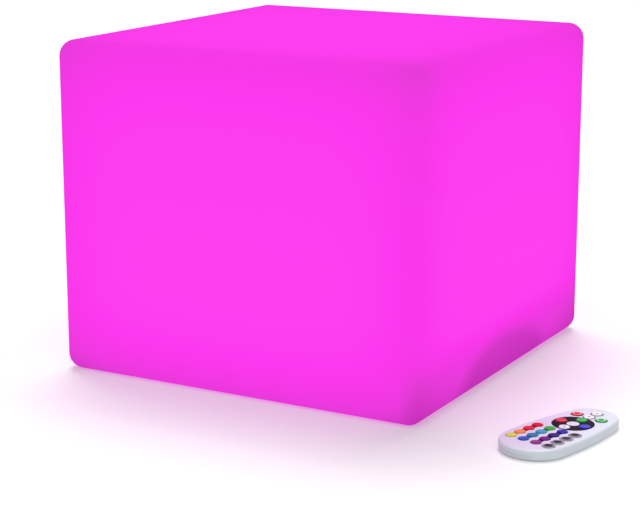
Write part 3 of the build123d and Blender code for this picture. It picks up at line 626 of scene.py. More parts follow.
# White solder mask on aluminium: glossy, with faint grey tracks.
WHITE_MASK = CircuitLacquer("solder_mask_white", "#EDEFF1", "#D5D9DC")
# Polished acrylic of the light pipe: clear, faintly green.
ACRYLIC = ClearPlastic("polished_acrylic", "#DDEEE6", 0.08, 1.49)
# Frosted polycarbonate over the LEDs: milky, lets a blurred light through.
POLYCARBONATE = ClearPlastic("frosted_polycarbonate", "#F1F3F5", 0.55, 1.585)
# Grey pad-printed ink on the power button.
GREY_INK = PrintedInk("pad_printed_grey", "#4A4E55")


class Mark(Enum):
    """What is printed on a key or the power button."""

    NONE = 0
    POWER = 1
    BRIGHTER = 2
    DIMMER = 3
    LAMP = 4


@dataclass
class Piece:
    """A new piece, modelled in place, that rides on one body."""

    name: str
    body: str
    slot: str
    replaces: Sequence[str] = ()
    finishes: list[Finish] = field(default_factory=list)

    def __post_init__(self) -> None:
        """Starts an empty mesh."""
        self.mesh = bmesh.new()
        self.finished: set[bmesh.types.BMFace] = set()

    def bare(self) -> list[bmesh.types.BMFace]:
        """The faces that have no finish yet."""
        return [face for face in self.mesh.faces if face not in self.finished]

    def wires(self) -> list[bmesh.types.BMEdge]:
        """The edges that have no face yet."""
        return [edge for edge in self.mesh.edges if edge.is_wire]

    def dress(self, finish: Finish) -> None:
        """Gives the bare faces a finish.

        Args:
            finish: the finish.
        """
        if finish not in self.finishes:
            self.finishes.append(finish)
        for face in self.bare():
            face.material_index = self.finishes.index(finish)
            self.finished.add(face)

    def turned(self, profile: Profile, place: Matrix, steps: int) -> list[bmesh.types.BMEdge]:
        """Adds a turned shape.

        Args:
            profile: radius and height of its half section, which ends on the Z axis.
            place: where its axis stands.
            steps: how many flats it has round.

        Returns:
            The edges of its open rim, where the profile starts away from the axis.
        """
        before = set(self.mesh.verts)
        verts = [self.mesh.verts.new(place @ Vector((radius, 0, height))) for radius, height in profile]
        edges = [self.mesh.edges.new(pair) for pair in zip(verts, verts[1:])]
        self.spin([*verts, *edges], place, math.tau, steps)
        fresh = [vert for vert in self.mesh.verts if vert not in before]
        bmesh.ops.remove_doubles(self.mesh, verts=fresh, dist=WELD)
        return [edge for edge in self.mesh.edges if edge.is_boundary and edge.verts[0] not in before]

    def spin(self, geom: list[Element], place: Matrix, angle: float, steps: int) -> list[Element]:
        """Sweeps points and edges round the Z axis of a place.

        Args:
            geom: the points and edges.
            place: where the axis stands.
            angle: how far they turn; a full turn is closed.
            steps: how many steps that takes.

        Returns:
            The geometry at the end of the turn.
        """
        return bmesh.ops.spin(
            self.mesh,
            geom=geom,
            cent=place.translation,
            axis=place.to_3x3() @ UP,
            angle=angle,
            steps=steps,
            use_merge=angle >= math.tau,
        )["geom_last"]

    def block(self, size: tuple[float, float, float], centre: Vector, bevel: float = 0.0) -> None:
        """Adds a box.

        Args:
            size: its length along X, Y and Z.
            centre: its middle.
            bevel: how wide its edges are bevelled.
        """
        place = Matrix.Translation(centre) @ Matrix.Diagonal((*size, 1))
        verts = bmesh.ops.create_cube(self.mesh, size=1.0, matrix=place)["verts"]
        if bevel:
            edges = list({edge for vert in verts for edge in vert.link_edges})
            bmesh.ops.bevel(
                self.mesh, geom=edges, offset=bevel, affect="EDGES", segments=1, profile=0.5, material=-1
            )

    def thicken(self, thick: float) -> None:
        """Raises the bare flat faces into thin solids.

        Args:
            thick: how thick they become.
        """
        grown = bmesh.ops.extrude_face_region(self.mesh, geom=self.bare(), use_keep_orig=True)
        tops = [item for item in grown["geom"] if isinstance(item, bmesh.types.BMVert)]
        bmesh.ops.translate(self.mesh, verts=tops, vec=UP * thick)

    def band(self, place: Matrix, size: float, line: float, opening: float = 0.0, steps: int = 24) -> None:
        """Adds a flat ring.

        Args:
            place: where its middle is.
            size: its outer radius.
            line: how wide its line is.
            opening: the angle left open, in the middle of its +Y side.
            steps: how many steps its line takes.
        """
        start = Matrix.Rotation(opening / 2, 4, UP) @ Vector((0, size, 0))
        ends = [self.mesh.verts.new(place @ end) for end in (start, start * (1 - line / size))]
        self.spin([*ends, self.mesh.edges.new(ends)], place, math.tau - opening, steps)

    def bar(self, place: Matrix, length: float, line: float) -> None:
        """Adds a flat bar whose length lies along Y."""
        place = place @ Matrix.Diagonal((line, length, 1, 1))
        bmesh.ops.create_grid(self.mesh, x_segments=1, y_segments=1, size=0.5, matrix=place)

    def mark(self, mark: Mark, place: Matrix, size: float) -> None:
        """Adds a flat mark.

        Args:
            mark: which mark.
            place: where its middle is.
            size: its radius.
        """
        if mark is Mark.POWER:
            line, stroke, gap = size * 0.24, size * 0.9, math.radians(70)
            self.band(place, size, line, gap)
            self.bar(place @ Matrix.Translation((0, size * 0.6, 0)), stroke, line)
        elif mark is Mark.LAMP:
            bulb, line, ray, rays = size * 0.5, size * 0.16, size * 0.3, 8
            self.band(place, bulb, size * 0.22)
            for number in range(rays):
                turn = place @ Matrix.Rotation(number * math.tau / rays, 4, UP)
                self.bar(turn @ Matrix.Translation((0, size * 0.82, 0)), ray, line)
        elif mark is not Mark.NONE:
            ring, line, drop, arrow = size * 0.4, size * 0.16, size * 0.62, size * 0.62
            way = place @ Matrix.Rotation(0 if mark is Mark.BRIGHTER else math.pi, 4, UP)
            self.band(way @ Matrix.Translation((0, -drop, 0)), ring, line)
            tip = way @ Matrix.Translation((0, size * 0.36, 0))
            bmesh.ops.create_circle(self.mesh, cap_ends=True, segments=3, radius=arrow, matrix=tip)

    def build(self) -> None:
        """Turns the mesh into the finished object on its body."""
        bmesh.ops.recalc_face_normals(self.mesh, faces=self.mesh.faces)
        for face in self.mesh.faces:
            face.smooth = True
        mesh = bpy.data.meshes.new(self.name)
        self.mesh.to_mesh(mesh)
        self.mesh.free()
        mesh.set_sharp_from_angle(angle=SMOOTH_ANGLE)
        for finish in self.finishes:
            mesh.materials.append(finish.material())
        made = bpy.data.objects.new(self.name, mesh)
        bpy.context.scene.collection.objects.link(made)
        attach(made, self.body)
        if self.replaces:
            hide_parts(*self.replaces)
        log.info("modelled %s: %d faces on %s", self.name, len(mesh.polygons), self.body)


@dataclass(frozen=True)
class CrossScrew:
    """A pan-head screw with a cross recess. Its head's face is at its place, and its shaft runs along Z.

    Its shares are of the head's radius, and the point's is of the shaft's. The crown's, side's and recess's
    heights are shares of the head's height.
    """

    head_radius: float
    head_height: float
    shaft_radius: float
    steps: int = 28
    face_share: float = 0.62
    crown_share: float = 0.88
    crown_height: float = 0.12
    side_height: float = 0.5
    recess_share: float = 0.5
    recess_height: float = 0.45
    recess_taper: float = 0.6
    point_share: float = 0.2

    def model(self, node: str, body: str, places: Sequence[Matrix]) -> None:
        """Models the zinc plated screws that stand for a node.

        Args:
            node: the node.
            body: the body that they ride on.
            places: where the middles of their heads' faces are.
        """
        low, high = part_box(node)
        piece = Piece(f"{node}_cross", body, "steel_screws", [node])
        for place in places:
            self.add(piece, place, high.z - low.z)
        piece.dress(ZINC)
        piece.build()

    def add(self, piece: Piece, place: Matrix, length: float) -> None:
        """Adds one screw.

        Args:
            piece: the piece that gets it.
            place: where the middle of its head's face is.
            length: its whole length.
        """
        head, point = self.head_height, self.shaft_radius * self.point_share
        profile = (
            (self.head_radius * self.face_share, 0),
            (self.head_radius * self.crown_share, head * self.crown_height),
            (self.head_radius, head * self.side_height),
            (self.head_radius, head),
            (self.shaft_radius, head),
            (self.shaft_radius, length - point),
            (self.shaft_radius - point, length),
            (0, length),
        )
        rim = piece.turned(profile, place, self.steps)
        mouth = self.recess(piece, place)
        face_way = place.to_3x3() @ -UP
        bmesh.ops.triangle_fill(piece.mesh, edges=rim + mouth, use_beauty=True, normal=face_way)

    def recess(self, piece: Piece, place: Matrix) -> list[bmesh.types.BMEdge]:
        """Adds the cross recess: a grid of three by three less its corners, sunk into the head and drawn in.

        Args:
            piece: the piece that gets it.
            place: where the middle of its mouth is.

        Returns:
            The edges round its mouth.
        """
        mesh, reach, back = piece.mesh, self.head_radius * self.recess_share, place.inverted()
        verts = bmesh.ops.create_grid(mesh, x_segments=3, y_segments=3, size=reach, matrix=place)["verts"]
        faces = {face for vert in verts for face in vert.link_faces}
        spots = {face: back @ face.calc_center_median() for face in faces}
        corners = [face for face, spot in spots.items() if min(abs(spot.x), abs(spot.y)) > reach / 3]
        bmesh.ops.delete(mesh, geom=corners, context="FACES")
        cross = [face for face in faces if face.is_valid]
        mouth = list({edge for face in cross for edge in face.edges if edge.is_boundary})
        grown = bmesh.ops.extrude_face_region(mesh, geom=cross)["geom"]
        floor = [item for item in grown if isinstance(item, bmesh.types.BMVert)]
        sunk = place.to_3x3() @ UP * (self.head_height * self.recess_height)
        bmesh.ops.translate(mesh, verts=floor, vec=sunk)
        bmesh.ops.scale(mesh, verts=floor, vec=(self.recess_taper, self.recess_taper, 1), space=back)
        bmesh.ops.delete(mesh, geom=[face for face in cross if face.is_valid], context="FACES")
        return mouth


ENGINE_SCREW = CrossScrew(head_radius=3.6 * MM, head_height=2.4 * MM, shaft_radius=2.0 * MM)
BOARD_SCREW = CrossScrew(head_radius=2.4 * MM, head_height=1.6 * MM, shaft_radius=1.25 * MM, steps=24)
CASE_SCREW = CrossScrew(head_radius=2.0 * MM, head_height=1.2 * MM, shaft_radius=1.0 * MM, steps=24)
HEAD_UP = Matrix.Rotation(math.pi, 4, "X")


def dress_nodes(finishes: dict[str, Finish]) -> None:
    """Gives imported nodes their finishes.

    Args:
        finishes: the finish of each node by its name.
    """
    for name, finish in finishes.items():
        slots = frame["nodes"][name].data.materials
        slots.clear()
        slots.append(finish.material())
        log.info("dressed %s in %s", name, finish.name)


def middle(node: str) -> Vector:
    """The middle of a node's box."""
    low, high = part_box(node)
    return (low + high) / 2


def at(spot: Vector, height: float) -> Matrix:
    """The place straight above or below a spot, at a height."""
    return Matrix.Translation((spot.x, spot.y, height))


@dataclass
class GlowingShell:
    """The hollow cube: its wall stays as it was packed, and gets its glow."""

    node: str = "cube_shell"

    def build(self) -> None:
        """Dresses the shell and its inserts."""
        low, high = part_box(self.node)
        wall = GlowingPolyethylene("rotomoulded_polyethylene_lit", low, high)
        dress_nodes({self.node: wall, "threaded_inserts": BRASS})


@dataclass
class BaseEngine:
    """What shows in the well under the cube: housing, screws, button, flap, socket and the lamp's lens."""

    screw_count: int = 6
    button_steps: int = 48
    collar_foot: float = 4.5 * MM
    collar_height: float = 1.0 * MM
    collar_reach: float = 1.5 * MM
    stem_radius: float = 2.5 * MM
    dish: float = 0.35 * MM
    # The dish's curve: how far out each point is, against the cap's radius, and how deep, against the dish.
    dish_curve: Profile = ((0.0, 1.0), (0.45, 0.8), (0.8, 0.15), (0.88, 0.0))
    rim_share: float = 0.96
    rim_height: float = 0.25 * MM
    side_height: float = 0.8 * MM
    mark_size: float = 2.4 * MM
    mark_sunk: float = 0.16 * MM
    mark_thick: float = 0.18 * MM

    def build(self) -> None:
        """Dresses and models everything that the well shows."""
        dress_nodes(
            {
                "engine_housing": ENGINE_ABS,
                "base_gasket": SEAL,
                "port_cover_anchor": SEAL,
                "port_cover": SEAL,
                "button_seal": SEAL,
                "charging_socket": NYLON,
                "status_lens": ACRYLIC,
            }
        )
        self.screws()
        self.button()

    def screws(self) -> None:
        """The six screws that hold the engine, their heads down."""
        low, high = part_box("engine_screws")
        first = at(Vector((high.x - ENGINE_SCREW.head_radius, 0, 0)), low.z)
        angles = [number * math.tau / self.screw_count for number in range(self.screw_count)]
        places = [Matrix.Rotation(angle, 4, UP) @ first for angle in angles]
        ENGINE_SCREW.model("engine_screws", "light", places)

    def button(self) -> None:
        """The power button, dished for the finger, with its collar, its stem and a raised power mark."""
        low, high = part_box("power_button")
        spot, collar = middle("power_button"), (high.x - low.x) / 2
        cap, top = collar - self.collar_reach, self.collar_foot + self.collar_height
        profile = (
            *((cap * out, self.dish * deep) for out, deep in self.dish_curve),
            (cap * self.rim_share, self.rim_height),
            (cap, self.side_height),
            (cap, self.collar_foot),
            (collar, self.collar_foot),
            (collar, top),
            (self.stem_radius, top),
            (self.stem_radius, high.z - low.z),
            (0, high.z - low.z),
        )
        piece = Piece("power_button_cap", "button", "abs_button", ["power_button"])
        piece.turned(profile, at(spot, low.z), self.button_steps)
        piece.dress(BUTTON_ABS)
        piece.mark(Mark.POWER, at(spot, low.z + self.dish - self.mark_sunk), self.mark_size)
        piece.thicken(self.mark_thick)
        piece.dress(GREY_INK)
        piece.build()


@dataclass(frozen=True)
class BoardPart:
    """A boxed part of a board, in millimetres: finish, size, place across the board and bevel."""

    finish: Finish
    size: tuple[float, float, float]
    spot: tuple[float, float]
    bevel: float = 0.3

    def add(self, piece: Piece, foot: float) -> None:
        """Adds the part.

        Args:
            piece: the piece that gets it.
            foot: the height that its foot stands at, in metres.
        """
        size = Vector(self.size) * MM
        centre = Vector((self.spot[0] * MM, self.spot[1] * MM, foot + size.z / 2))
        piece.block(tuple(size), centre, self.bevel * MM)
        piece.dress(self.finish)


INDUCTOR = BoardPart(FERRITE, (8.0, 8.0, 4.5), (10.0, 8.0), bevel=0.6)
LED_DRIVER = BoardPart(CHIP_EPOXY, (5.0, 4.0, 1.4), (-4.0, 10.0))
CHARGER = BoardPart(CHIP_EPOXY, (6.0, 8.0, 1.4), (-6.0, -6.0))
CELL_PLUG = BoardPart(PLUG_NYLON, (5.0, 9.4, 5.0), (-27.0, 0.0))
CHARGE_LAMP = BoardPart(LED_PACKAGE, (1.6, 1.6, 0.8), (0.0, -14.0), bevel=0.0)


@dataclass
class SealedInside:
    """What the housing and the shell hide: boards, cells, leads and the LED board under its cover."""

    plug_inset: float = 4.0 * MM
    can_spot: tuple[float, float] = (10 * MM, -9 * MM)
    can_radius: float = 4.0 * MM
    can_height: float = 8.5 * MM
    can_groove: float = 0.35 * MM
    groove_foot: float = 1.2 * MM
    groove_half: float = 0.4 * MM
    can_steps: int = 32
    cell_steps: int = 40
    crimp: float = 0.35 * MM
    # Shares of a cell's radius: its contact, the shoulder round it, and its flat end.
    contact_share: float = 0.45
    shoulder_share: float = 0.5
    flat_share: float = 0.6
    # The link strips: their thickness, and against a cell's radius how far in they end and how high they are.
    strip: float = 0.3 * MM
    strip_inset: float = 0.75
    strip_height: float = 0.5
    window: float = 1.9 * MM
    window_half: float = 0.05 * MM
    window_slope: float = 0.1 * MM
    window_steps: int = 20
    led_half: float = 2.5 * MM
    led_counts: tuple[int, int] = (12, 6)
    ring_gap: float = 12 * MM

    def build(self) -> None:
        """Dresses and models the sealed inner pieces."""
        dress_nodes(
            {
                "driver_board": GREEN_MASK,
                "tact_switch": NYLON,
                "switch_plunger": PLUNGER_NYLON,
                "battery_cradle": CRADLE_ABS,
                "battery_lead": LEAD,
                "led_lead": LEAD,
                "led_board": WHITE_MASK,
                "led_chips": LED_PACKAGE,
                "ir_receiver": INFRARED_EPOXY,
                "led_dome": POLYCARBONATE,
            }
        )
        for node in ("board_screws", "led_board_screws"):
            self.screws(node)
        self.board_parts()
        self.cells()
        self.windows()

    def screws(self, node: str) -> None:
        """Models four small screws, heads up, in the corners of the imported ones' box.

        Args:
            node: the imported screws' node.
        """
        low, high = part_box(node)
        reach = Vector((BOARD_SCREW.head_radius, BOARD_SCREW.head_radius))
        left, right = low.xy + reach, high.xy - reach
        spots = [Vector((x, y, 0)) for x in (left.x, right.x) for y in (left.y, right.y)]
        BOARD_SCREW.model(node, "light", [at(spot, high.z) @ HEAD_UP for spot in spots])

    def board_parts(self) -> None:
        """What is soldered to the driver board, each kind of part in its own finish."""
        low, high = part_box("driver_board")
        piece = Piece("driver_parts_detailed", "light", "board_parts", ["driver_parts"])
        led_plug = BoardPart(PLUG_NYLON, (5.6, 5.0, 5.0), (0.0, (high.y - self.plug_inset) / MM))
        for part in (INDUCTOR, LED_DRIVER, CHARGER, led_plug, CELL_PLUG):
            part.add(piece, high.z)
        self.capacitor(piece, high.z)
        CHARGE_LAMP.add(piece, low.z - CHARGE_LAMP.size[2] * MM)
        piece.build()

    def capacitor(self, piece: Piece, foot: float) -> None:
        """Adds the capacitor: a can with a groove round its foot.

        Args:
            piece: the piece that gets it.
            foot: the height that it stands at.
        """
        radius, tall, groove = self.can_radius, self.can_height, self.can_groove
        profile = (
            (0, 0),
            (radius, 0),
            (radius, self.groove_foot),
            (radius - groove, self.groove_foot + self.groove_half),
            (radius, self.groove_foot + 2 * self.groove_half),
            (radius, tall - groove),
            (radius - groove, tall),
            (0, tall),
        )
        piece.turned(profile, Matrix.Translation((*self.can_spot, foot)), self.can_steps)
        piece.dress(CAN)

    def cells(self) -> None:
        """Two cells in shrink sleeve with crimped shoulders, and the strips that link them."""
        low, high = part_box("battery_cells")
        radius, axis_z = (high.z - low.z) / 2, middle("battery_cells").z
        half = (high.y - low.y) / 2 - self.strip
        piece = Piece("battery_cells_sleeved", "light", "cell_wrap", ["battery_cells"])
        profile = (
            (0, -half),
            (radius * self.contact_share, -half),
            (radius * self.shoulder_share, -half + self.crimp),
            (radius - self.crimp, -half + self.crimp),
            (radius, -half + 3 * self.crimp),
            (radius, half - 2 * self.crimp),
            (radius - self.crimp, half - self.crimp / 2),
            (radius * self.flat_share, half),
            (0, half),
        )
        lying = Matrix.Rotation(math.radians(-90), 4, "X")
        for x in (low.x + radius, high.x - radius):
            piece.turned(profile, Matrix.Translation((x, 0, axis_z)) @ lying, self.cell_steps)
        piece.dress(SLEEVE)
        length, height = high.x - low.x - 2 * self.strip_inset * radius, self.strip_height * radius
        for y in (low.y + self.strip / 2, high.y - self.strip / 2):
            piece.block((length, self.strip, height), Vector((0, y, axis_z + height / 2)))
        piece.dress(NICKEL)
        piece.build()

    def windows(self) -> None:
        """The yellow phosphor window on each LED package."""
        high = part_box("led_chips")[1]
        half, top = self.window_half, self.window - self.window_slope
        profile = ((0, -half), (self.window, -half), (top, half), (0, half))
        piece = Piece("led_windows", "light", "led_package")
        for ring, count in enumerate(self.led_counts):
            radius = high.x - self.led_half - ring * self.ring_gap
            for number in range(count):
                spot = Matrix.Rotation(number * math.tau / count, 4, UP) @ Vector((radius, 0, 0))
                piece.turned(profile, at(spot, high.z), self.window_steps)
        piece.dress(PHOSPHOR)
        piece.build()


@dataclass(frozen=True)
class KeyLook:
    """How one key is printed: the rings of its top, the mark on it and the ring printed round it."""

    rings: Stops
    mark: Mark = Mark.NONE
    ink: str = ""
    collar: str = ""


@dataclass
class HandRemote:
    """The remote: an egg-shaped case with a printed face and twenty-four silicone keys."""

    key_steps: int = 40
    key_round: float = 0.35 * MM
    # The key's rounded rim: how far in and how far down each point is, against key_round.
    rim_curve: Profile = ((0.0, 1.0), (0.12, 0.6), (0.4, 0.22), (1.0, 0.05))
    key_flat: float = 0.6
    print_sunk: float = 0.02 * MM
    print_thick: float = 0.06 * MM
    hole_gap: float = 0.3 * MM
    dial_radius: float = 15.0 * MM
    dial_eye: float = 4.5 * MM
    dial_steps: int = 64
    collar_width: float = 0.62 * MM
    mode_collar_width: float = 0.85 * MM
    collar_steps: int = 48
    bar_half: float = 2.4 * MM
    bar_steps: int = 10
    mark_size: float = 1.45 * MM
    mode_keys: int = 4
    cell_steps: int = 48
    cell_round: float = 0.25 * MM
    # The button cell's lid, seal and crimped rim, in mm: how far in from its side and how high each point is.
    cell_curve: Profile = (
        (2.1, 0.0), (1.7, 0.15), (1.6, 0.45), (1.3, 0.5), (1.2, 0.28), (0.5, 0.3), (0.1, 0.7), (0.0, 1.0),
    )

    def __post_init__(self) -> None:
        """Reads the remote's place from the frame."""
        low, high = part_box("key_red")
        self.key_radius = (high.x - low.x) / 2
        self.key_foot, self.key_top = low.z, high.z
        self.hole = self.key_radius + self.hole_gap
        self.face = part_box("remote_top_case")[1].z - self.print_sunk
        self.dial = (middle("key_red") + middle("key_blue")) / 2
        ahead = middle("key_brighter") - self.dial
        self.turn = Matrix.Rotation(math.atan2(-ahead.x, ahead.y), 4, UP)

    def looks(self) -> dict[str, KeyLook]:
        """How each key is printed.

        Returns:
            The look of each key by the name of its node.
        """
        coloured = (
            "#E00A0A", "#DE2A22", "#FF9646", "#DEDC50",
            "#18B028", "#22A2C0", "#0A7CA4", "#0A5ABE",
            "#0A14A0", "#0E0A70", "#66147A", "#8C3080",
        )
        looks = {}
        for number, code in enumerate(coloured, 1):
            rings = ((0.0, code), (0.82, code), (1.0, shade_of(code, 0.14)))
            looks[f"key_colour_{number:02d}"] = KeyLook(rings)
        mode = ((0.0, "#10121A"), (0.74, "#14161E"), (0.82, "#8A8E96"), (1.0, "#A2A6AC"))
        for number in range(1, self.mode_keys + 1):
            looks[f"key_mode_{number}"] = KeyLook(mode, collar="#9CA0A6")
        for name, deep, pale in (
            ("key_red", "#E0202C", "#FF7078"),
            ("key_green", "#18AA3A", "#6CE884"),
            ("key_blue", "#2030C0", "#7078F0"),
        ):
            rings = ((0.0, pale), (0.22, deep), (0.52, deep), (0.62, pale), (0.74, deep), (1.0, deep))
            looks[name] = KeyLook(rings)
        looks["key_white"] = KeyLook(((0.0, "#F4F6F8"), (1.0, "#E8EAF0")), Mark.LAMP, "#22242C")
        for name, deep, pale in (
            ("key_power_off", "#D8202E", "#FF9EA4"),
            ("key_power_on", "#22B048", "#9CF0AC"),
        ):
            rings = ((0.0, deep), (0.56, deep), (0.64, pale), (0.84, pale), (0.93, shade_of(deep, 0.25)))
            looks[name] = KeyLook(rings, Mark.POWER, shade_of(deep, 0.45), shade_of(deep, 0.2))
        pale = ((0.0, "#F2F4F6"), (0.8, "#F2F4F6"), (1.0, "#DFE2E8"))
        for name, mark in (("key_brighter", Mark.BRIGHTER), ("key_dimmer", Mark.DIMMER)):
            looks[name] = KeyLook(pale, mark, "#2A2C34", "#62646E")
        return looks

    def build(self) -> None:
        """Dresses the case and models the keys, the printed face, the screw and the button cell."""
        dress_nodes(
            {
                "remote_top_case": REMOTE_ABS,
                "remote_bottom_case": REMOTE_ABS,
                "battery_tray": DRAWER_ABS,
                "keypad_mat": MAT,
                "remote_board": GREEN_MASK,
                "ir_emitter": INFRARED_EPOXY,
                "battery_contacts": SPRING,
            }
        )
        slots = {part["node"]: part["material_slot"] for part in frame["record"]["subparts"]}
        looks = self.looks()
        for node, look in looks.items():
            self.key(node, look, slots[node])
        self.printed_face(looks)
        self.screw()
        self.button_cell()

    def key(self, node: str, look: KeyLook, slot: str) -> None:
        """Models one key with its mark.

        Args:
            node: the key's node, which is also its body.
            look: how it is printed.
            slot: its material slot.
        """
        spot, tall, off = middle(node), self.key_top - self.key_foot, self.key_round
        profile = (
            (0, 0),
            (self.key_radius, 0),
            *((self.key_radius - off * inward, tall - off * down) for inward, down in self.rim_curve),
            (self.key_radius * self.key_flat, tall),
            (0, tall),
        )
        piece = Piece(f"{node}_cap", node, slot, [node])
        piece.turned(profile, at(spot, self.key_foot), self.key_steps)
        piece.dress(RingedKey(f"printed_silicone_{node}", look.rings))
        if look.mark is not Mark.NONE:
            piece.mark(look.mark, at(spot, self.key_top - self.print_sunk) @ self.turn, self.mark_size)
            piece.thicken(self.print_thick)
            piece.dress(PrintedInk(f"pad_printed_{node}", look.ink))
        own = piece.mesh.loops.layers.uv.new(KEY_MAP)
        for face in piece.mesh.faces:
            for loop in face.loops:
                loop[own].uv = (loop.vert.co - spot).xy / self.key_radius
        piece.build()

    def printed_face(self, looks: dict[str, KeyLook]) -> None:
        """The dial, the rings round keys and the bars between them, printed on the case.

        Args:
            looks: how each key is printed.
        """
        piece = Piece("remote_face_print", "remote", "abs_remote")
        self.dial_print(piece)
        for node, look in looks.items():
            if look.collar:
                wide = self.mode_collar_width if node.startswith("key_mode") else self.collar_width
                piece.band(at(middle(node), self.face), self.hole + wide, wide, steps=self.collar_steps)
                piece.thicken(self.print_thick)
                piece.dress(PrintedInk(f"screen_printed_{look.collar[1:]}", look.collar))
        tones = (
            ("#861014", "#A8301C", "#E2A850"),
            ("#107A26", "#2A9CB4", "#0A6288"),
            ("#0A0E58", "#0E083A", "#34103E"),
        )
        for column, colours in enumerate(tones):
            keys = len(colours) + 1
            for row, code in enumerate(colours):
                first = keys * column + row + 1
                ends = [middle(f"key_colour_{number:02d}") for number in (first, first + 1)]
                self.bar_print(piece, *ends)
                piece.dress(PrintedInk(f"screen_printed_{code[1:]}", code))
        piece.build()

    def dial_print(self, piece: Piece) -> None:
        """Adds the black dial round the four ring keys, open over its pale middle.

        Args:
            piece: the piece that gets it.
        """
        holes = [(middle(f"key_{name}"), self.hole) for name in ("red", "green", "blue", "white")]
        for spot, radius in ((self.dial, self.dial_radius), (self.dial, self.dial_eye), *holes):
            place = at(spot, self.face)
            bmesh.ops.create_circle(piece.mesh, segments=self.dial_steps, radius=radius, matrix=place)
        bmesh.ops.triangle_fill(piece.mesh, edges=piece.wires(), use_beauty=True, normal=UP)
        piece.thicken(self.print_thick)
        piece.dress(PrintedInk("screen_printed_black", "#0B0B16"))

    def bar_print(self, piece: Piece, upper: Vector, lower: Vector) -> None:
        """Adds a bar between two keys, its ends hollowed round their holes.

        Args:
            piece: the piece that gets it.
            upper: the middle of one key.
            lower: the middle of the other.
        """
        lean = math.asin(self.bar_half / self.hole)
        corners = []
        for start, end in ((upper, lower), (lower, upper)):
            place = at(start, self.face)
            away = (end - start).xy.normalized().to_3d() * self.hole
            first = piece.mesh.verts.new(place @ (Matrix.Rotation(-lean, 4, UP) @ away))
            corners += [first, *piece.spin([first], place, 2 * lean, self.bar_steps)]
        piece.mesh.edges.new(corners[1:3])
        piece.mesh.edges.new((corners[3], corners[0]))
        bmesh.ops.contextual_create(piece.mesh, geom=piece.wires())
        piece.thicken(self.print_thick)

    def screw(self) -> None:
        """The screw that closes the case from below."""
        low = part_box("remote_screw")[0]
        CASE_SCREW.model("remote_screw", "remote", [at(middle("remote_screw"), low.z)])

    def button_cell(self) -> None:
        """The cell in the drawer: its can above, the smaller lid below, and the groove between them."""
        low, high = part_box("coin_cell")
        radius, tall = (high.x - low.x) / 2, high.z - low.z
        profile = (
            (0, 0),
            *((radius - inward * MM, height * MM) for inward, height in self.cell_curve),
            (radius, tall - self.cell_round),
            (radius - self.cell_round, tall),
            (0, tall),
        )
        piece = Piece("coin_cell_crimped", "drawer", "coin_steel", ["coin_cell"])
        piece.turned(profile, at(middle("coin_cell"), low.z), self.cell_steps)
        piece.dress(NICKEL)
        piece.build()


@dataclass(frozen=True)
class Lamp:
    """A wide soft lamp, so far away that it lights the whole floor evenly."""

    name: str
    place: tuple[float, float, float]  # the direction that it shines from
    spread: float  # how many degrees of the sky it fills
    power: float  # in watts a square metre

    def build(self) -> None:
        """Hangs the lamp."""
        light = bpy.data.lights.new(self.name, "SUN")
        light.angle = math.radians(self.spread)
        light.energy = self.power
        lamp = bpy.data.objects.new(self.name, light)
        lamp.location = self.place
        lamp.rotation_euler = (-lamp.location).to_track_quat("-Z", "Y").to_euler()
        bpy.context.scene.collection.objects.link(lamp)


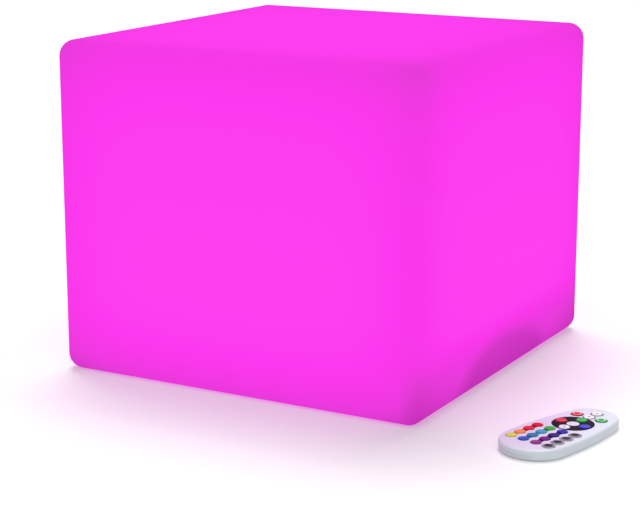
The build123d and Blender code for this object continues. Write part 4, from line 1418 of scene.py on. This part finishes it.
@dataclass
class Studio:
    """A pale floor, soft lamps and the camera."""

    lens: float = 103.14
    place: tuple[float, float, float] = (0.6847, -1.2418, 0.4223)
    azimuth: float = 29.22
    elevation: float = 13.63
    floor_half: float = 7.0
    floor_z: float = -0.1 * MM
    floor_colour: str = "#DCDCDC"
    # The floor is lifted less beside the cube than away from it: painted shade round the cube's foot.
    near_lift: float = 0.24
    far_lift: float = 0.295
    lift_start: float = 55 * MM
    lift_end: float = 115 * MM
    sky: float = 0.36
    sky_seen: float = 1.0
    lamps: tuple[Lamp, Lamp] = (
        Lamp("back_lamp", (-0.4, 0.6, 1.75), spread=34.0, power=2.0),
        Lamp("front_lamp", (0.6, -1.0, 0.9), spread=60.0, power=0.9),
    )

    def build(self) -> None:
        """Makes the floor, the light and the camera."""
        self.floor()
        self.sky_light()
        for lamp in self.lamps:
            lamp.build()
        self.camera()
        bpy.context.scene.view_settings.view_transform = "Standard"
        log.info("studio ready")

    def floor(self) -> None:
        """A matt pale floor, lifted to white for the camera where no shadow lies."""
        made = bmesh.new()
        lowered = Matrix.Translation((0, 0, self.floor_z))
        bmesh.ops.create_grid(made, x_segments=1, y_segments=1, size=self.floor_half, matrix=lowered)
        mesh = bpy.data.meshes.new("floor")
        made.to_mesh(mesh)
        made.free()
        material = bpy.data.materials.new("matt_white_floor")
        tree = fresh_tree(material)
        matt = add_node(tree, "BsdfDiffuse", {"Color": linear(self.floor_colour)})
        lift = {0: self.seen(tree), 1: self.lift(tree)}
        lift = add_node(tree, "Math", lift, operation="MULTIPLY")
        glow = add_node(tree, "Emission", {"Color": WHITE, "Strength": lift})
        both = add_node(tree, "AddShader", {0: matt, 1: glow})
        add_node(tree, "OutputMaterial", {"Surface": both})
        mesh.materials.append(material)
        floor = bpy.data.objects.new("floor", mesh)
        bpy.context.scene.collection.objects.link(floor)

    def seen(self, tree: Tree, *more: str) -> Node:
        """Tells the rays that show a white surround from those that only light.

        Args:
            tree: the node tree that gets it.
            more: kinds of such rays besides camera and glossy ones.

        Returns:
            The node that gives 1 for a ray that shows it.
        """
        path = add_node(tree, "LightPath", {}).outputs
        rays = {0: path["Is Camera Ray"], 1: path["Is Glossy Ray"]}
        seen = add_node(tree, "Math", rays, operation="MAXIMUM")
        for kind in more:
            seen = add_node(tree, "Math", {0: seen, 1: path[kind]}, operation="MAXIMUM")
        return seen

    def lift(self, tree: Tree) -> Node:
        """How far the floor is lifted for the camera: less beside the cube, a painted shade round its foot.

        Args:
            tree: the floor material's node tree.

        Returns:
            The node that gives the lift.
        """
        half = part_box("cube_shell")[1]
        place = add_node(tree, "TexCoord", {}).outputs["Object"]
        share = add_node(tree, "VectorMath", {0: place}, operation="ABSOLUTE")
        past = add_node(tree, "VectorMath", {0: share, 1: half}, operation="SUBTRACT")
        past = add_node(tree, "VectorMath", {0: past, 1: ZEROS}, operation="MAXIMUM")
        away = add_node(tree, "VectorMath", {0: past}, operation="LENGTH").outputs["Value"]
        bounds = {0: away, 1: self.lift_start, 2: self.lift_end, 3: self.near_lift, 4: self.far_lift}
        return add_node(tree, "MapRange", bounds, interpolation_type="SMOOTHSTEP")

    def sky_light(self) -> None:
        """An even surround that lights softly and is seen as white."""
        world = bpy.data.worlds.new("studio_surround")
        bpy.context.scene.world = world
        tree = fresh_tree(world)
        level = {0: self.seen(tree, "Is Transmission Ray"), 1: self.sky_seen - self.sky, 2: self.sky}
        strength = add_node(tree, "Math", level, operation="MULTIPLY_ADD")
        white = add_node(tree, "Background", {"Color": WHITE, "Strength": strength})
        add_node(tree, "OutputWorld", {"Surface": white})

    def camera(self) -> None:
        """Stands the camera where the photograph was taken from."""
        azimuth, elevation = math.radians(self.azimuth), math.radians(self.elevation)
        level = math.cos(elevation)
        back = Vector((math.sin(azimuth) * level, -math.cos(azimuth) * level, math.sin(elevation)))
        data = bpy.data.cameras.new("camera")
        data.lens = self.lens
        camera = bpy.data.objects.new("camera", data)
        camera.location = self.place
        camera.rotation_euler = (-back).to_track_quat("-Z", "Y").to_euler()
        bpy.context.scene.collection.objects.link(camera)
        bpy.context.scene.camera = camera


def main() -> None:
    """Builds the sub-assemblies in order."""
    logging.basicConfig(level=logging.INFO, format="%(message)s")
    GlowingShell().build()
    BaseEngine().build()
    SealedInside().build()
    HandRemote().build()
    Studio().build()


if __name__ == "__main__":
    main()
